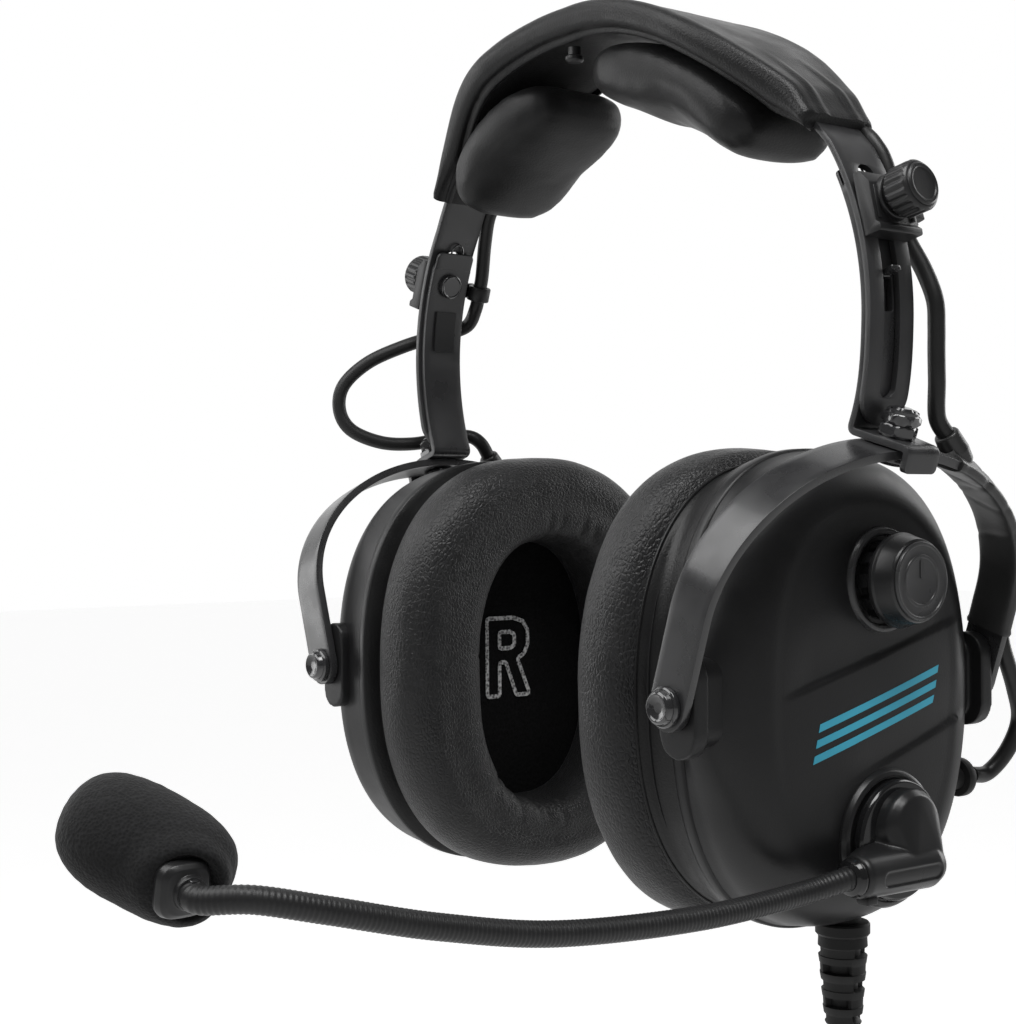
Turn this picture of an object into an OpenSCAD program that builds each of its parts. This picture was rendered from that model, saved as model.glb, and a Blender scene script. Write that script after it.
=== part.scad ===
// Aviation headset with a boom microphone, worn upright.
// X points to the wearer's left, Y to the rear and Z up. The origin is the middle
// of the line through the centres of the two ear cups. All lengths are millimetres.

/* [Headband] */
// Radius of the spring strip over the crown
crown_r = 88.2; // [82:0.1:94]
// Angle from the top of the crown to the tighter sides
crown_arc = 58; // [54:1:60]
// Height of the top of the strip over the ear centres
strip_top = 163.3; // [158:0.1:172]
// Width of the spring strip
strip_w = 14.4; // [13:0.1:16]
// Thickness of the spring strip
strip_t = 1.4; // [1:0.1:1.8]
// Radius of the slotted sides of the strip
slot_r = 70.5; // [66:0.5:75]
// Width of the adjusting slot
slot_w = 5.2; // [4.6:0.1:6]
// Length of the adjusting slot, end to end
slot_len = 53.4; // [50:0.2:54]
// Length of strip below the slot
strip_tail = 6.2; // [5:0.1:6.6]

/* [Headband cover] */
// Half width of the cover at the crown
cover_mid_w = 21; // [17:0.5:25]
// Half width of the cover at its ends
cover_end_w = 11.8; // [10.6:0.1:14]
// Thickness of the cover over the strip
cover_out = 3.6; // [2.6:0.1:5]
// Thickness of the cover under the strip
cover_in = 3.4; // [2.4:0.1:5]
// Length of taper at each end of the cover, in degrees of the crown
cover_taper = 30; // [18:1:40]
// Angle of the cover's ends from the top of the crown
cover_end = 52.8; // [50:0.1:55]

/* [Head pads] */
// Thickness of a head pad
pad_t = 17.5; // [14:0.5:22]
// Width of a head pad
pad_w = 38; // [30:0.5:42]
// Distance of the head pads' middle line to the rear of the strip's
pad_y = 3; // [0:0.5:3]
// Half length of the left head pad, in degrees of the crown
left_pad_arc = 23.5; // [16:0.5:24]
// Angle of the left head pad's middle from the top of the crown
left_pad_at = 21.3; // [21:0.1:28]
// Half length of the right head pad, in degrees of the crown
right_pad_arc = 18.5; // [14:0.5:19]
// Angle of the right head pad's middle from the top of the crown
right_pad_at = 33.5; // [27:0.5:33.5]

/* [Height adjusters] */
// Width of a hanger arm
arm_w = 12.8; // [11:0.1:14]
// Thickness of a hanger arm
arm_t = 1.6; // [1.2:0.1:2]
// Distance of the clamp stud below the top of the slot
stud_at = 10.2; // [9:0.1:12]
// Diameter of the clamp stud
stud_d = 4; // [3.4:0.1:4.4]
// Width of a clamp block
block_w = 14; // [12:0.1:14.4]
// Height of a clamp block
block_h = 14.6; // [13:0.1:16]
// Thickness of a clamp block over the strip
block_t = 4; // [3.4:0.1:5]
// Diameter of a clamp knob
clamp_d = 11.8; // [10:0.1:14]
// Length of a clamp knob
clamp_l = 7.8; // [7.2:0.1:12]
// Number of ribs round a clamp knob
clamp_ribs = 18; // [12:1:24]

/* [Yokes] */
// Height from the pivot pins to the top of a yoke
yoke_h = 57.8; // [57:0.1:62]
// Half span of a yoke at mid thickness
yoke_half = 50.6; // [50.4:0.1:53]
// Height of the straight part of a yoke leg
leg_h = 20; // [14:0.5:26]
// Width of the yoke band
yoke_w = 10.5; // [9:0.1:12]
// Thickness of the yoke band
yoke_t = 2; // [1.4:0.1:2.2]
// Outward lean of a yoke
lean = 18; // [15:0.1:19]
// Diameter of a yoke bolt
bolt_d = 5; // [4:0.1:5.4]
// Distance from a yoke bolt to the arm's bend
foot_in = 7; // [6.6:0.1:7.6]
// Distance from a yoke bolt to the foot's lip
foot_out = 6.8; // [6.4:0.1:8]
// Depth of the foot's lip
lip_h = 4.4; // [3.4:0.1:5]

/* [Ear cups] */
// Height of an ear cup at its rim
cup_h = 110; // [104:0.5:116]
// Width of an ear cup at its rim
cup_w = 93; // [88:0.5:94]
// Distance from the middle of the headset to a cup's rim
rim_x = 51.3; // [49:0.1:54]
// Depth of an ear cup from rim to face
cup_d = 24.2; // [22:0.1:27]
// Radius round the edge of a cup's face
cup_fillet = 13; // [9:0.5:14]
// Wall of an ear cup
cup_wall = 2.4; // [1.6:0.1:3]
// Distance from the middle of the headset to the cup pivots
pivot_x = 68; // [66:0.1:70]
// Diameter of a pivot pin
pin_d = 4; // [3:0.1:4.6]
// Slope of the band across a cup's face
band_slope = 15; // [8:1:20]
// Height of the band across a cup's face
band_h = 21; // [16:0.5:24]
// Place of the band's front end and of its middle line, rearward and up from the cup's centre
band_at = [-24, -5.6];

/* [Ear seals] */
// Width of an ear seal
seal_w = 97; // [92:0.2:98]
// Height of an ear seal
seal_h = 111.2; // [104:0.2:116]
// Depth of an ear seal
seal_d = 19; // [14:0.5:21]
// Width of the opening in an ear seal
hole_w = 43; // [34:0.5:46]
// Height of the opening in an ear seal
hole_h = 73; // [62:0.5:75]

/* [Controls] */
// Place of the volume knob from the cup's centre, rearward and up
vol_at = [7.3, 25];
// Diameter of the volume knob's flare
vol_d = 21.4; // [18:0.1:23]
// Height of the volume knob over its ring
vol_h = 10.2; // [9:0.1:12]
// Place of the boom pivot from the cup's centre, rearward and up
boom_at = [8.2, -33];
// Diameter of the boom pivot's ring
boom_ring_d = 31.4; // [28:0.1:33]
// Height of the boom pivot's ring over the cup's face
boom_ring_h = 2.4; // [1.6:0.1:3.4]

/* [Microphone boom] */
// Diameter of the gooseneck
neck_d = 5; // [4.4:0.1:5.8]
// Length of the foam windscreen
foam_l = 34; // [30:0.5:38]
// Diameter of the foam windscreen
foam_d = 23; // [20:0.1:26]
// Diameter of the microphone holder's rim
holder_d = 11; // [10:0.1:12]

/* [Leads] */
// Diameter of the lead between the cups
lead_d = 4; // [3.4:0.1:4.2]
// Diameter of the main cord
cord_d = 5.2; // [4.6:0.1:5.4]
// Number of turns in each layer of the coiled cord
coil_turns = 3; // [2:1:3]
// Radius of the coil at its middle turn
coil_r = 31; // [30:0.5:34]
// Diameter of the headphone plug's shaft
phones_d = 6.35; // [6.35:0.01:6.35]
// Diameter of the microphone plug's shaft
mic_plug_d = 5.23; // [5.23:0.01:5.23]

/* [Hidden] */
gap = 0.3;
slip = 0.1;
$fn = 48;
c0 = [0, strip_top - crown_r];
c1 = c0 + (crown_r - slot_r) * [sin(crown_arc), cos(crown_arc)];
deg = 180 / PI;
slot_from = 5.5;
stud_s = slot_from + stud_at;
strip_end_s = slot_from + slot_len + strip_tail;
inner_r = slot_r - strip_t / 2 - gap - arm_t / 2;
face_x = rim_x + cup_d;
boss_y = yoke_half - yoke_t / 2 - gap;
foot_z = yoke_h + slip;
seal_x = rim_x - 2 - gap - seal_d;
pad_r = crown_r - strip_t / 2 - gap - cover_in - gap;
lead_y = strip_w / 2 + gap + lead_d / 2;
clip_y = strip_w / 2 + gap + 1.6 + lead_d / 2;
relief_at = [62, 9];
relief_top = -54.4;
relief_l = 24;
coil_pitch = cord_d + 0.8;
coil_out = coil_r + coil_turns * coil_pitch / 2;
coil_c = [relief_at[0], relief_at[1] + coil_out, relief_top - relief_l - 50];
foam_c = [47.1, -159.2, -19.3];
foam_v = [-0.66, -0.60, 0.44];
holder_at = [60.4, -158.5, -24.6];
holder_v = [0.987, 0.033, -0.15];
neck_pts = [[81, -25.7, -40.2], [81, -54.8, -41], [80, -90.4, -38.9], [78.5, -117.1, -33.9],
    [76, -138.7, -28.3], [72.6, -151.5, -25.2]];
boot_at = [85.2, 18.2, 57.8];
boot_v = [0.04, 0.6, -0.79];
left_low_pts = [[85, 12.2, 94], [87.5, 12.8, 87.3], [87.6, 13.2, 81.4], [87.2, 13.4, 75.7],
    [86.6, 13.8, 69.5]];
right_low_pts = [[-85.8, 11, 96.4], [-90, 4.6, 93.8], [-95.2, -5, 90.4], [-100.4, -14.6, 85.4],
    [-104.2, -20.8, 78.6], [-105, -21.8, 71.4], [-103, -19, 65.4], [-99.4, -11, 61.8],
    [-96, -2, 61.4], [-91.6, 6.6, 63], [-87.4, 12.4, 63.6]];
cup_lead_pts = [[72.4, 54.6, 11.2], [72.6, 55.4, 7], [72.2, 60.4, -3], [70, 65.2, -11.3],
    [67.8, 63.4, -19], [65.4, 58.8, -24.4], [65.4, 54.5, -24.4]];
coil_end_pts = [[5.4, -11, 37.4], [8.8, -20, 31.6], [10.6, -26, 22.5], [10.6, -27, 12]];
split_l = 24;

// ---- shapes ----

function unit(v) = v / norm(v);
function ease(t) = let(c = min(1, max(0, t))) c * c * (3 - 2 * c);
// Point of a rounded oval with half sizes a and b.
function oval(a, b, n, t) = [a * sign(cos(t)) * pow(abs(cos(t)), 2 / n),
    b * sign(sin(t)) * pow(abs(sin(t)), 2 / n)];
// Smooth path through points, k steps between each two.
function smooth(p, k) = let(n = len(p)) concat(
    [for (i = [0:n - 2], j = [0:k - 1])
        let(a = p[max(i - 1, 0)], b = p[i], c = p[i + 1], d = p[min(i + 2, n - 1)],
            t = j / k)
        0.5 * (2 * b + (c - a) * t + (2 * a - 5 * b + 4 * c - d) * t * t
            + (3 * b - a - 3 * c + d) * t * t * t)], [p[n - 1]]);
function middle(p, i = 0) = i == len(p) - 1 ? p[i] / len(p)
    : p[i] / len(p) + middle(p, i + 1);
function heading(p, i) = unit(p[min(i + 1, len(p) - 1)] - p[max(i - 1, 0)]);

// Solid through rings of equal counts, closed flat at both ends.
module loft(rings) {
    n = len(rings[0]);
    m = len(rings);
    polyhedron(concat([for (r = rings) each r], [middle(rings[0]), middle(rings[m - 1])]),
        concat([for (j = [0:n - 1]) [m * n, (j + 1) % n, j]],
        [for (j = [0:n - 1]) [m * n + 1, (m - 1) * n + j, (m - 1) * n + (j + 1) % n]],
        [for (i = [0:m - 2], j = [0:n - 1]) each [
            [i * n + j, (i + 1) * n + (j + 1) % n, (i + 1) * n + j],
            [i * n + j, i * n + (j + 1) % n, (i + 1) * n + (j + 1) % n]]]));
}

// Closed ring of sections, such as a cushion round an opening.
module ring_loft(rings) {
    n = len(rings[0]);
    m = len(rings);
    polyhedron([for (r = rings) each r],
        [for (i = [0:m - 1], j = [0:n - 1]) each [
            [i * n + j, ((i + 1) % m) * n + j, ((i + 1) % m) * n + (j + 1) % n],
            [i * n + j, ((i + 1) % m) * n + (j + 1) % n, i * n + (j + 1) % n]]]);
}

// Round tube along a path; side is any direction the path never points in.
module tube(p, d, sides, side) {
    loft([for (i = [0:len(p) - 1])
        let(h = heading(p, i), u = unit(cross(h, side)), v = cross(h, u))
        [for (j = [0:sides - 1]) p[i] + d / 2 * (cos(j * 360 / sides) * u
            - sin(j * 360 / sides) * v)]]);
}

// Strip of width w and thickness t bent to radius r, from angle a to b from the top.
module arc_strip(r, a, b, w, t) {
    rotate([90, 0, 0]) rotate([0, 0, 90 - b]) rotate_extrude(angle = b - a, $fn = 240)
        translate([r - t / 2, -w / 2]) square([t, w]);
}

// Place on the side of the strip, s down from the crown: x outward, z up the strip.
module at_slot(s) {
    translate([c1[0], 0, c1[1]]) rotate([0, crown_arc - 90 + s / slot_r * deg, 0])
        translate([slot_r, 0, 0]) children();
}
module slot_strip(r, s0, s1, w, t) {
    translate([c1[0], 0, c1[1]])
        arc_strip(r, crown_arc + s0 / slot_r * deg, crown_arc + s1 / slot_r * deg, w, t);
}

// Place at the left cup's pivot line, leaning with the yoke.
module at_yoke() {
    translate([pivot_x, 0, 0]) rotate([0, lean, 0]) children();
}
module rod_x(d, l) { rotate([0, 90, 0]) cylinder(d = d, h = l); }
module rod_y(d, l, n = 48) { rotate([-90, 0, 0]) cylinder(d = d, h = l, $fn = n); }

// ---- headband ----

// Edge of the strip, d outside its middle line, from the top to the left end.
function strip_edge(d) = concat(
    [for (i = [0:24]) let(a = crown_arc * i / 24)
        c0 + (crown_r + d) * [sin(a), cos(a)]],
    [for (i = [1:24]) let(a = crown_arc + strip_end_s / slot_r * deg * i / 24)
        c1 + (slot_r + d) * [sin(a), cos(a)]]);
function back(p) = [for (i = [len(p) - 1:-1:0]) p[i]];
function flip(p) = [for (q = p) [-q[0], q[1]]];

module slot_cut() {
    slot_strip(slot_r, slot_from + slot_w / 2, slot_from + slot_len - slot_w / 2, slot_w, 6);
    at_slot(slot_from + slot_w / 2) translate([-4, 0, 0]) rod_x(slot_w, 8);
    at_slot(slot_from + slot_len - slot_w / 2) translate([-4, 0, 0]) rod_x(slot_w, 8);
    at_slot(strip_end_s - strip_w / 2) difference() {
        translate([-6, -strip_w, -strip_w]) cube([12, 2 * strip_w, strip_w]);
        translate([-8, 0, 0]) rod_x(strip_w, 16);
    }
}

module headband_strip() {
    o = strip_edge(strip_t / 2);
    n = strip_edge(-strip_t / 2);
    color("#232323") difference() {
        rotate([90, 0, 0]) linear_extrude(strip_w, center = true) polygon(concat(
            back(flip(o)), [for (i = [1:len(o) - 1]) o[i]], back(n),
            [for (i = [1:len(n) - 1]) flip(n)[i]]));
        slot_cut();
        mirror([1, 0, 0]) slot_cut();
    }
}

// Half section of the cover: distance across, height over the strip's middle.
function cover_section(w) = let(o = strip_t / 2 + cover_out, n = strip_t / 2 + cover_in)
    [[-w, 0], [-w + 0.7, o - 0.7], [-w + 2.6, o + 0.5], [-w + 5, o - 0.3],
    [0, o], [w - 5, o - 0.3], [w - 2.6, o + 0.5], [w - 0.7, o - 0.7], [w, 0],
    [w - 0.7, -n + 0.7], [w - 2.6, -n - 0.2], [w - 5, -n], [0, -n], [-w + 5, -n],
    [-w + 2.6, -n - 0.2], [-w + 0.7, -n + 0.7]];
function cover_w(a) = cover_end_w + (cover_mid_w - cover_end_w)
    * ease((cover_end - abs(a)) / cover_taper);

module headband_cover() {
    steps = 28;
    color("#1a1a1b") difference() {
        loft([for (i = [0:steps])
            let(a = -cover_end + 2 * cover_end * i / steps)
            [for (q = cover_section(cover_w(a)))
                [(crown_r + q[1]) * sin(a), q[0], c0[1] + (crown_r + q[1]) * cos(a)]]]);
        translate([0, 0, c0[1]]) arc_strip(crown_r, -cover_end - 2, cover_end + 2,
            strip_w + 2 * gap, strip_t + 2 * gap);
        translate([0, lead_y + lead_d / 4, c0[1]]) arc_strip(crown_r, -cover_end - 2,
            cover_end + 2, lead_d * 1.5 + 2 * gap, lead_d + 2 * gap);
    }
}

// A soft pillow hung under the cover, from angle at - arc to at + arc from the top.
module head_pad(at, arc) {
    steps = 14;
    color("#161616") loft([for (i = [0:steps])
        let(u = -cos(180 * (0.04 + 0.92 * i / steps)), f = pow(1 - pow(abs(u), 3), 1 / 3),
            a = at + u * arc)
        [for (j = [0:17])
            let(q = oval(pad_w / 2 * (0.3 + 0.7 * f), pad_t / 2 * f, 2.7, -j * 20),
                r = pad_r - pad_t / 2 + q[1])
            [r * sin(a), q[0] + pad_y, c0[1] + r * cos(a)]]]);
}
module head_pad_left() { head_pad(left_pad_at, left_pad_arc); }
module head_pad_right() { head_pad(-right_pad_at, right_pad_arc); }

stud_at_x = -5;
module cover_stud() {
    color("#2a2a2c") translate([stud_at_x, -cover_mid_w + 7, c0[1] + pad_r - 4]) {
        cylinder(d = 4.8, h = 1.8);
        cylinder(d = 3.4, h = 4);
    }
}

module crossover_lead() {
    color("#111111") translate([0, lead_y, c0[1]]) rotate([90, 0, 0])
        rotate([0, 0, 90 - cover_end]) rotate_extrude(angle = 2 * cover_end, $fn = 240)
            translate([crown_r, 0]) circle(d = lead_d);
}

// ---- height adjusters ----

module arm() {
    top_s = stud_s - 6.6;
    tab_s = stud_s + 15.4;
    color("#2b2b2d") {
        difference() {
            union() {
                slot_strip(inner_r, top_s, strip_end_s + 6, arm_w, arm_t);
                slot_strip(inner_r + arm_t / 4, top_s - 3, top_s + 1, arm_w - 1, arm_t / 2);
            }
            at_slot(stud_s) translate([-8, 0, 0]) rod_x(stud_d + 2 * slip, 16);
            slot_strip(inner_r, tab_s, tab_s + 8, slot_w - 0.8, 6);
            at_yoke() translate([-30, -20, foot_z - 40]) cube([60, 40, 40]);
        }
        at_slot(tab_s) translate([-gap - arm_t - strip_t / 2, -slot_w / 2 + 0.6, -0.7])
            cube([arm_t + gap + strip_t + 0.2, slot_w - 1.2, 1.3]);
        difference() {
            at_yoke() translate([0, 0, foot_z]) {
                translate([-foot_in - 5, -arm_w / 2, 0])
                    cube([foot_in + 5 + foot_out + arm_t, arm_w, arm_t]);
                translate([foot_out, -5.2, -lip_h]) cube([arm_t, 10.4, lip_h + 0.2]);
            }
            at_yoke() translate([0, 0, foot_z - 1]) cylinder(d = bolt_d + 2 * slip, h = 8);
            translate([c1[0], -20, c1[1]]) rod_y(2 * inner_r - arm_t, 40, 240);
        }
    }
}

module clamp_block() {
    x0 = strip_t / 2 + gap;
    low = -block_h / 2 - 1;
    color("#1c1c1e") at_slot(stud_s) difference() {
        union() {
            translate([x0, 0, 0]) rotate([90, 0, 0]) linear_extrude(block_w, center = true)
                polygon([[0, low], [block_t + 0.8, low], [block_t + 0.8, low + 1.4],
                    [block_t, low + 2.2], [block_t, low + block_h - 3],
                    [block_t - 2.2, low + block_h], [0, low + block_h]]);
            translate([x0 + block_t - 0.2, 0, 0]) rod_x(10, 1.2);
            translate([x0, block_w / 2 - 2, -3.6]) cube([2, clip_y - block_w / 2 + 2.7, 4.2]);
            translate([clip_x, clip_y - 0.7, -3.6]) cube([x0 - clip_x + 0.6, 1.4, 4.2]);
            translate([clip_x, clip_y, -3.6]) cylinder(d = lead_d + 2.6, h = 4.2);
        }
        translate([-4, 0, 0]) rod_x(stud_d + 2 * slip, 20);
        translate([clip_x, clip_y, -9]) cylinder(d = lead_d + 0.7, h = 18);
    }
}

module clamp_stud() {
    color("#101011") at_slot(stud_s) {
        translate([-strip_t / 2 - gap - arm_t - slip - 1.5, 0, 0]) rod_x(7, 1.5);
        translate([-strip_t / 2 - gap - arm_t - slip - 0.1, 0, 0])
            rod_x(stud_d, arm_t + strip_t + gap + block_t + 6.4);
    }
}

module clamp_knob() {
    x0 = strip_t / 2 + gap + block_t + 1 + slip;
    color("#1e1e20") at_slot(stud_s) translate([x0, 0, 0]) difference() {
        union() {
            rod_x(clamp_d - 3, clamp_l);
            translate([1.4, 0, 0]) rod_x(clamp_d - 1.2, clamp_l - 2.6);
            for (k = [0:clamp_ribs - 1]) rotate([k * 360 / clamp_ribs, 0, 0])
                translate([1.4, 0, clamp_d / 2 - 0.6]) rod_x(1.2, clamp_l - 3.2);
        }
        translate([-1, 0, 0]) rod_x(stud_d + 2 * slip, 7);
        translate([clamp_l - 0.5, 0, 0]) rod_x(clamp_d - 5.4, 2);
    }
}

module yoke_bolt() {
    color("#18181a") at_yoke() translate([0, 0, yoke_h - yoke_t - gap - slip]) {
        translate([0, 0, -1.8]) cylinder(d1 = 6.4, d2 = 8.2, h = 0.8);
        translate([0, 0, -1.1]) cylinder(d = 8.2, h = 1.1);
        cylinder(d = bolt_d, h = yoke_t + arm_t + 6.8);
    }
}

module yoke_nuts() {
    color("#111112") at_yoke() for (k = [0, 1])
        translate([0, 0, foot_z + arm_t + 0.1 + k * 2.9]) rotate([0, 0, 12 * k])
            difference() {
                cylinder(d = 9.4, h = 2.8, $fn = 6);
                translate([0, 0, -1]) cylinder(d = bolt_d + 2 * slip, h = 6);
            }
}

// ---- yokes ----

// Middle line of the yoke band at turn t: across, height over the pivots.
function yoke_pt(t) = [-(yoke_half) * cos(t), leg_h + (yoke_h - yoke_t / 2 - leg_h) * sin(t)];
function yoke_out(t) = unit([-(yoke_h - yoke_t / 2 - leg_h) * cos(t), yoke_half * sin(t)]);
// Outline of a layer lying from distance a to b outside the middle line.
function yoke_layer(a, b, t0, t1, n) = concat(
    [for (i = [0:n]) let(t = t0 + (t1 - t0) * i / n) yoke_pt(t) + b * yoke_out(t)],
    [for (i = [n:-1:0]) let(t = t0 + (t1 - t0) * i / n) yoke_pt(t) + a * yoke_out(t)]);
module yoke_plate(points, w) {
    rotate([90, 0, 90]) translate([0, 0, -w / 2]) linear_extrude(w) polygon(points);
}

module yoke() {
    color("#2c2c2f") at_yoke() difference() {
        union() {
            yoke_plate(yoke_layer(-yoke_t / 2, yoke_t / 2, 0, 180, 40), yoke_w);
            for (k = [-1, 1]) {
                translate([-yoke_w / 2, k * yoke_half - yoke_t / 2, 0])
                    cube([yoke_w, yoke_t, leg_h]);
                translate([0, k * yoke_half - yoke_t / 2, 0]) rod_y(yoke_w, yoke_t);
            }
        }
        for (k = [-1, 1]) translate([0, k * yoke_half - 4, 0]) rod_y(pin_d + 2 * slip, 8);
        translate([0, 0, yoke_h - 10]) cylinder(d = bolt_d + 2 * slip, h = 20);
    }
}

module pivot_pins() {
    color("#151517") translate([pivot_x, 0, 0]) for (k = [0, 1]) rotate([0, 0, 180 * k]) {
        translate([0, yoke_half + yoke_t / 2 + 0.1, 0]) rod_y(8.8, 1.6);
        translate([0, yoke_half + yoke_t / 2 + 1.7, 0]) rotate([-90, 0, 0])
            cylinder(d1 = 8.8, d2 = 5.6, h = 1.3);
        translate([0, boss_y - 5, 0]) rod_y(pin_d, yoke_half + yoke_t / 2 + 0.2 - boss_y + 5);
    }
}

module sleeve() {
    mid = yoke_t / 2 + 0.9;
    out = yoke_t / 2 + 2.4;
    w = yoke_w + 1.4;
    low = 13;
    color("#0e0e0e") {
        at_yoke() difference() {
            union() {
                yoke_plate(yoke_layer(-mid, mid, 116, 180, 20), w);
                yoke_plate(yoke_layer(0, out, 116, 180, 20), w - 4.4);
                translate([-w / 2, yoke_half - mid, low]) cube([w, 2 * mid, leg_h - low]);
                translate([-w / 2 + 2.2, yoke_half, low]) cube([w - 4.4, out, leg_h - low]);
            }
            yoke_plate(yoke_layer(-yoke_t / 2 - slip, yoke_t / 2 + slip, 112, 180, 20),
                yoke_w + 2 * slip);
            translate([-yoke_w / 2 - slip, yoke_half - yoke_t / 2 - slip, 5])
                cube([yoke_w + 2 * slip, yoke_t + 2 * slip, leg_h - 4.9]);
        }
        difference() {
            translate(boot_at) rotate([0, acos(unit(boot_v)[2]), atan2(boot_v[1], boot_v[0])])
                cylinder(d1 = 6, d2 = 6.8, h = 8);
            at_yoke() yoke_plate(yoke_layer(-8, yoke_t / 2 + slip, 100, 150, 20), w + 6);
        }
    }
}

// ---- leads between the cups ----

// Point beside the strip, q[0] outward, q[1] rearward and q[2] up from the stud.
function side_pt(q) = let(a = crown_arc + stud_s / slot_r * deg, r = slot_r + q[0])
    [c1[0] + r * sin(a) - q[2] * cos(a), q[1], c1[1] + r * cos(a) + q[2] * sin(a)];
clip_x = -2.4;

module lead_upper() {
    v = [cos(cover_end), 0, -sin(cover_end)];
    top = [crown_r * sin(cover_end), lead_y, c0[1] + crown_r * cos(cover_end)] + 0.4 * v;
    color("#111111") tube([top, top + 4 * v, (top + 4 * v + side_pt([clip_x, clip_y, 6])) / 2
        + [0.5, 0, 0.4], side_pt([clip_x, clip_y, 3.6]), side_pt([clip_x, clip_y, -1.2])],
        lead_d, 8, [0, 1, 0]);
}
module lead_lower(side, p) {
    ends = [side_pt([clip_x, clip_y, -1.7]), side_pt([clip_x, clip_y, -6]),
        boot_at - 4.6 * unit(boot_v), boot_at - 0.4 * unit(boot_v)];
    e = [for (q = ends) [side * q[0], q[1], q[2]]];
    color("#111111") tube(concat([e[0], e[1]], p, [e[2], e[3]]),
        lead_d, 8, [0.5, 0.2, -0.1]);
}
module lead_cup() { color("#111111") tube(cup_lead_pts, lead_d, 8, [1, 0, 0]); }

// ---- ear cups ----

function oval_ring(x, a, b, n, k) = [for (j = [0:k - 1])
    let(q = oval(a, b, n, -(j + 0.5) * 360 / k)) [x, q[0], q[1]]];
function cup_ring(x, in, n) = oval_ring(x, cup_w / 2 - in, cup_h / 2 - in, n, 40);
// Dome set inward by w from the outer skin.
module dome(w, from) {
    f = cup_fillet - w;
    straight = cup_d - cup_fillet;
    loft(concat([cup_ring(rim_x + from, w, 2.4), cup_ring(rim_x + straight, 1.2 + w, 2.4)],
        [for (i = [1:5]) let(a = i * 15)
            cup_ring(rim_x + straight + f * sin(a), 1.2 + w + f * (1 - cos(a)), 2.4)],
        [cup_ring(face_x - w - 0.1, 1.2 + cup_fillet + 1, 2.35),
            cup_ring(face_x - w + 0.9, 32, 2.3)]));
}

module cup_body(controls) {
    difference() {
        union() {
            dome(0, 0);
            for (k = [-1, 1]) hull() for (z = [-6, 6])
                translate([pivot_x - 2, k > 0 ? boss_y - 9 : -boss_y, z]) rod_y(12, 9);
            if (controls) {
                translate([face_x - 4, vol_at[0], vol_at[1]]) rod_x(22.8, 5.4);
                translate([rim_x + 9, boom_at[0], boom_at[1]])
                    rod_x(boom_ring_d, cup_d - 9 + boom_ring_h);
            }
        }
        dome(cup_wall, -1);
        // shallow band that slopes up across the face to its rear edge
        rotate([band_slope, 0, 0]) translate([face_x + 0.2, band_at[0], band_at[1] - band_h / 2])
            cube([4, cup_w / 2 - band_at[0], band_h]);
        for (k = [-1, 1]) translate([pivot_x, k > 0 ? boss_y - 6 : -boss_y - 4, 0])
            rod_y(pin_d + slip, 10);
        translate([65.4, 30, -24.4]) rod_y(6.2, 30);
        if (controls) {
            translate([face_x - 8, vol_at[0], vol_at[1]]) rod_x(6.2, 12);
            translate([face_x - 20, boom_at[0], boom_at[1]]) rod_x(8.2, 40);
            translate([relief_at[0], relief_at[1], -70]) cylinder(d = 9, h = 30);
        }
    }
}

module seal_plate() {
    color("#171718") translate([rim_x - 2, 0, 0]) difference() {
        loft([for (x = [0, 1.9]) oval_ring(x, cup_w / 2 - 0.6, cup_h / 2 - 0.6, 2.4, 40)]);
        loft([for (x = [-1, 3]) oval_ring(x, hole_w / 2 + 3, hole_h / 2 + 3, 2.2, 36)]);
    }
}

module ear_seal() {
    color("#191919") ring_loft([for (i = [0:35]) [for (j = [0:13])
        let(t = i * 10, o = oval(seal_w / 2, seal_h / 2, 2.35, t),
            n = oval(hole_w / 2, hole_h / 2, 2.1, t),
            q = oval(0.5, seal_d / 2, 2.5, -j * 360 / 14),
            w = n + (o - n) * (0.5 + q[0] * (1 - 0.10 * ease((q[1] + 9) / 18))))
        [seal_x + seal_d / 2 + q[1], w[0], w[1]]]]);
}

module ear_liner() {
    color("#131313") loft([for (q = [[0, 8], [1.2, 9], [4.6, 9]])
        oval_ring(rim_x + gap + q[0], hole_w / 2 + q[1], hole_h / 2 + q[1] - 1, 2.2, 32)]);
}

module speaker() {
    color("#303033") translate([rim_x + gap + 4.6 + gap, 0, 0]) {
        rod_x(40, 3);
        translate([2.9, 0, 0]) rod_x(28, 5);
    }
}

module grommet() {
    color("#0f0f10") translate([65.4, 0, -24.4]) difference() {
        union() {
            translate([0, 42.2, 0]) rod_y(5.8, 8);
            translate([0, 46.9, 0]) rod_y(9.8, 1.8);
            translate([0, 48.6, 0]) rod_y(7.4, 2);
            translate([0, 50.5, 0]) rod_y(9.4, 2);
            translate([0, 52.4, 0]) rod_y(6.6, 1.2);
        }
        translate([0, 40, 0]) rod_y(2.6, 10);
    }
}

module cup_left() { color("#1f1f21") cup_body(true); }
module cup_right() { color("#1f1f21") mirror([1, 0, 0]) cup_body(false); }

// ---- controls and boom ----

module volume_knob() {
    x0 = face_x + 1.4 + gap;
    color("#202022") translate([x0, vol_at[0], vol_at[1]]) difference() {
        union() {
            translate([-8, 0, 0]) rod_x(6, 9);
            rod_x(19, 3.4);
            translate([3.3, 0, 0]) rotate([0, 90, 0]) cylinder(d = vol_d, h = 1.8);
            translate([5.1, 0, 0]) rotate([0, 90, 0])
                cylinder(d1 = vol_d, d2 = vol_d - 3.6, h = vol_h - 6.4);
            translate([vol_h - 1.4, 0, 0]) rod_x(vol_d - 4.6, 1.4);
        }
        translate([vol_h - 0.6, 0, 0]) rod_x(vol_d - 6.8, 2);
    }
}

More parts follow.
